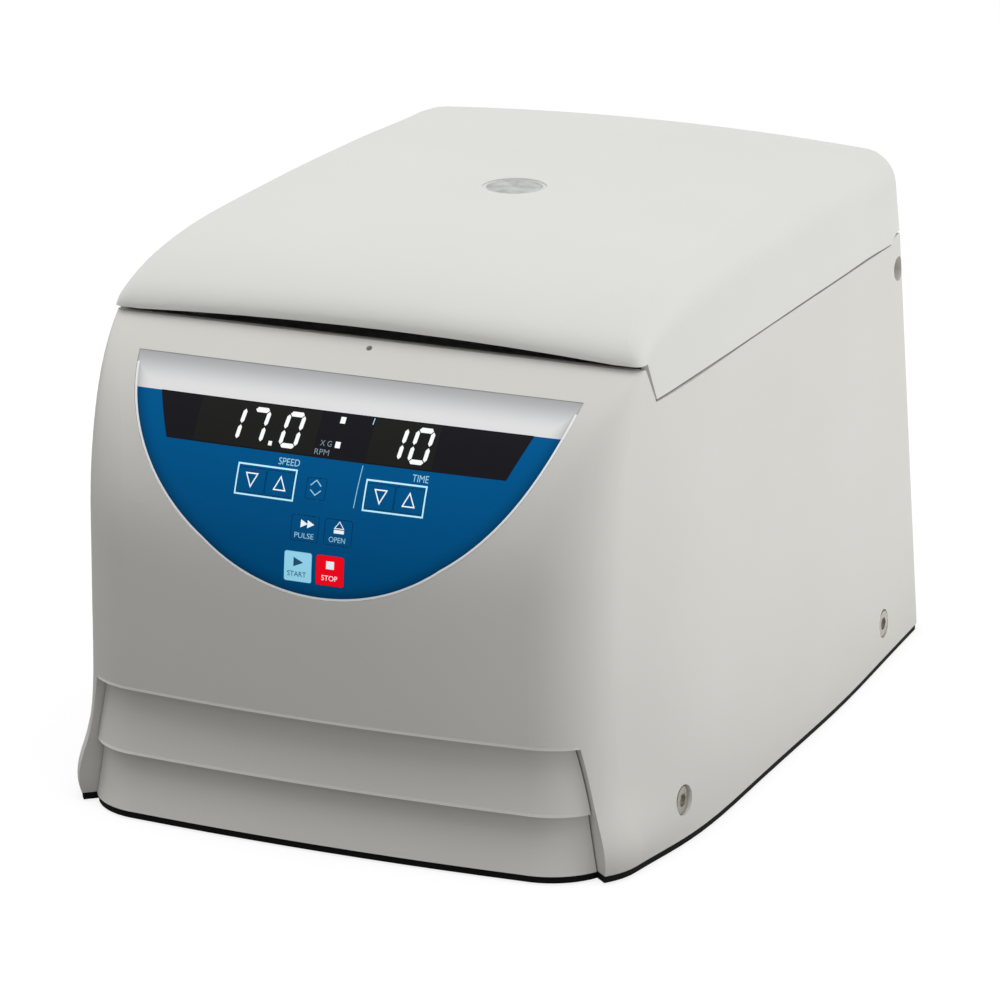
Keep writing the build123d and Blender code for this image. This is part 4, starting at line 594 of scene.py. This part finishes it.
# Lit digits: speed 17.0 and time 10, with the two unit lamps
digit("speed_digit_1", "bc", -40.1)
digit("speed_digit_2", "abc", -30.0)
digit("speed_digit_3", "abcdef", -15.2)
digit("time_digit_1", "bc", 27.9)
digit("time_digit_2", "abcdef", 38.6)
for name, x, z, half in (("speed_point", -27.0, 157.6, 0.75), ("lamp_top", 0.5, 168.0, 1.05),
                         ("lamp_low", 0.9, 159.9, 1.05)):
    patch(name, [(x - half, z - half), (x + half, z - half), (x + half, z + half), (x - half, z + half)],
          window_node, digits_lit)
word("word_times_g", "X G", -6.4, -1.6, unit_foot[1], unit_height, window_node, ink_dim)
word("word_rpm", "RPM", -8.0, -1.9, unit_foot[0], unit_height, window_node, ink_dim)

# Frames, divider and words printed on the fixed film
for name, (left, right) in {"speed_frame": speed_box, "time_frame": time_box}.items():
    line(name, [(left, box_foot), (right, box_foot), (right, box_top), (left, box_top)], line_width, True,
         film_node, ink_frame)
line("divider", [(12.1, 139.3), (13.0, 154.2)], 0.3, False, film_node, ink_pale)
line("divider_tick", [(12.9, 167.8), (13.1, 169.9)], 0.35, False, window_node, ink_pale, film_lift)
word("word_speed", "SPEED", -21.8, -12.9, title_foot, title_height, film_node, ink_pale)
word("word_time", "TIME", 33.9, 40.5, title_foot, title_height, film_node, ink_pale)


def arrow(name, x, up, key):
    """Outline triangle of a key, pointing up or down."""
    sign = 1 if up else -1
    path = [(x, arrow_z + 2.4 * sign), (x - 2.4, arrow_z - 2.3 * sign), (x + 2.4, arrow_z - 2.3 * sign)]
    line(name, path, 0.45, True, key, ink_white)


# Symbols printed on the keys move with them
arrow("arrow_speed_down", speed_arrows[0], False, "key_speed_down")
arrow("arrow_speed_up", speed_arrows[1], True, "key_speed_up")
arrow("arrow_time_down", time_arrows[0], False, "key_time_down")
arrow("arrow_time_up", time_arrows[1], True, "key_time_up")
line("unit_mark_top", [(-6.9, 145.3), (-4.6, 147.3), (-2.4, 145.3)], 0.4, False, "key_unit", ink_pale)
line("unit_mark_low", [(-6.7, 143.8), (-4.5, 142.0), (-2.3, 143.8)], 0.4, False, "key_unit", ink_pale)
for step, x in enumerate((-8.8, -6.0)):
    patch(f"pulse_mark_{step}", [(x, 129.9), (x + 2.9, 131.4), (x, 132.9)], "key_pulse", ink_white)
line("open_mark_roof", [(5.4, 131.2), (9.2, 131.2), (7.3, 133.7)], 0.3, True, "key_open", ink_white)
patch("open_mark_bar", [(5.2, 129.4), (9.4, 129.4), (9.4, 130.7), (5.2, 130.7)], "key_open", ink_white)
word("word_pulse", "PULSE", -11.0, -3.0, upper_word_foot, word_height, "key_pulse", ink_pale)
word("word_open", "OPEN", 3.4, 10.2, upper_word_foot, word_height, "key_open", ink_pale)
patch("start_mark", [(-10.7, 115.0), (-6.6, 116.8), (-10.7, 118.6)], "key_start", ink_dark)
word("word_start", "START", -13.2, -5.3, lower_word_foot, word_height, "key_start", ink_dark)
patch("stop_mark", [(3.0, 115.7), (6.3, 115.7), (6.3, 118.7), (3.0, 118.7)], "key_stop", ink_white)
word("word_stop", "STOP", 1.2, 7.8, lower_word_foot, word_height, "key_stop", ink_white)

# Floor, light and camera
floor_z = cad_bounds[0][2]
floor_mesh = bpy.data.meshes.new("floor")
floor_corners = [(x * floor_size, y * floor_size, floor_z) for x, y in ((-1, -1), (1, -1), (1, 1), (-1, 1))]
floor_mesh.from_pydata(floor_corners, [], [(0, 1, 2, 3)])
floor = bpy.data.objects.new("floor", floor_mesh)
bpy.context.scene.collection.objects.link(floor)


def pale_floor():
    """Matt paper, white to the camera; to the machine it is grey in front, white and lit on its right."""
    material, tree, place = start_material("white_paper")
    fibre = add(tree, "TexNoise", {"Scale": 1 / (4 * mm)}, {"Vector": place})
    rough = add(tree, "MapRange", {"To Min": 0.85, "To Max": 0.95}, {"Value": fibre.outputs["Fac"]})
    ray = add(tree, "LightPath")
    tone = add(tree, "Mix", None, {"Factor": ray.outputs["Is Camera Ray"]}, data_type="RGBA")
    across = add(tree, "VectorMath", {1: (1.0, 0.35, 0.0)}, {0: place}, operation="DOT_PRODUCT")
    side = add(tree, "MapRange", {"From Min": 0.0, "From Max": card_edge},
               {"Value": across.outputs["Value"]})
    card = add(tree, "Mix", {6: linear("#848486"), 7: linear("#FAFAFA")},
               {"Factor": side.outputs["Result"]}, data_type="RGBA")
    tree.links.new(card.outputs[2], tone.inputs[6])
    tone.inputs[7].default_value = linear("#F4F4F5")
    paper = add(tree, "BsdfDiffuse", None, {"Color": tone.outputs[2], "Roughness": rough.outputs["Result"]})
    glow = add(tree, "Emission", {"Color": (1, 1, 1, 1), "Strength": glow_strength})
    lift = add(tree, "Math", {1: card_glow}, {0: side.outputs["Result"]}, operation="MULTIPLY")
    share = add(tree, "Mix", {3: camera_glow}, {0: ray.outputs["Is Camera Ray"], 2: lift.outputs["Value"]})
    both = add(tree, "MixShader", None, {0: share.outputs[0], 1: paper.outputs["BSDF"],
                                         2: glow.outputs["Emission"]})
    add(tree, "OutputMaterial", links={"Surface": both.outputs["Shader"]})
    return material


floor_mesh.materials.append(pale_floor())

world = bpy.data.worlds.new("studio")
world.use_nodes = True
bpy.context.scene.world = world
world.node_tree.nodes.clear()
ray = add(world.node_tree, "LightPath")
seen = add(world.node_tree, "Math", links={0: ray.outputs["Is Camera Ray"], 1: ray.outputs["Is Glossy Ray"]},
           operation="MAXIMUM")
seen = add(world.node_tree, "Math", links={0: seen.outputs["Value"], 1: ray.outputs["Is Transmission Ray"]},
           operation="MAXIMUM")
level = add(world.node_tree, "MapRange", {"To Min": ambient, "To Max": 1.0},
            {"Value": seen.outputs["Value"]})
sky = add(world.node_tree, "Background", {"Color": (1, 1, 1, 1)}, {"Strength": level.outputs["Result"]})
add(world.node_tree, "OutputWorld", links={"Surface": sky.outputs["Background"]})


def soft_box(name, place, target, size, watts):
    """Square soft light at place, aimed at target."""
    lamp = bpy.data.lights.new(name, "AREA")
    lamp.size = size
    lamp.energy = watts
    box = bpy.data.objects.new(name, lamp)
    box.location = place
    box.rotation_euler = (Vector(target) - Vector(place)).to_track_quat("-Z", "Y").to_euler()
    bpy.context.scene.collection.objects.link(box)


for name, (place, size, watts) in soft_boxes.items():
    soft_box(name, place, light_target, size, watts)

# Camera fitted to the edges of the housing and the lid in the photo
camera_data = bpy.data.cameras.new("camera")
camera_data.lens = camera_lens
camera_data.sensor_width = 36.0
camera_data.clip_end = 20.0
camera = bpy.data.objects.new("camera", camera_data)
camera.location = camera_place
camera.rotation_euler = (Vector(camera_target) - camera.location).to_track_quat("-Z", "Y").to_euler()
bpy.context.scene.collection.objects.link(camera)
bpy.context.scene.camera = camera
bpy.context.scene.view_settings.view_transform = "Standard"
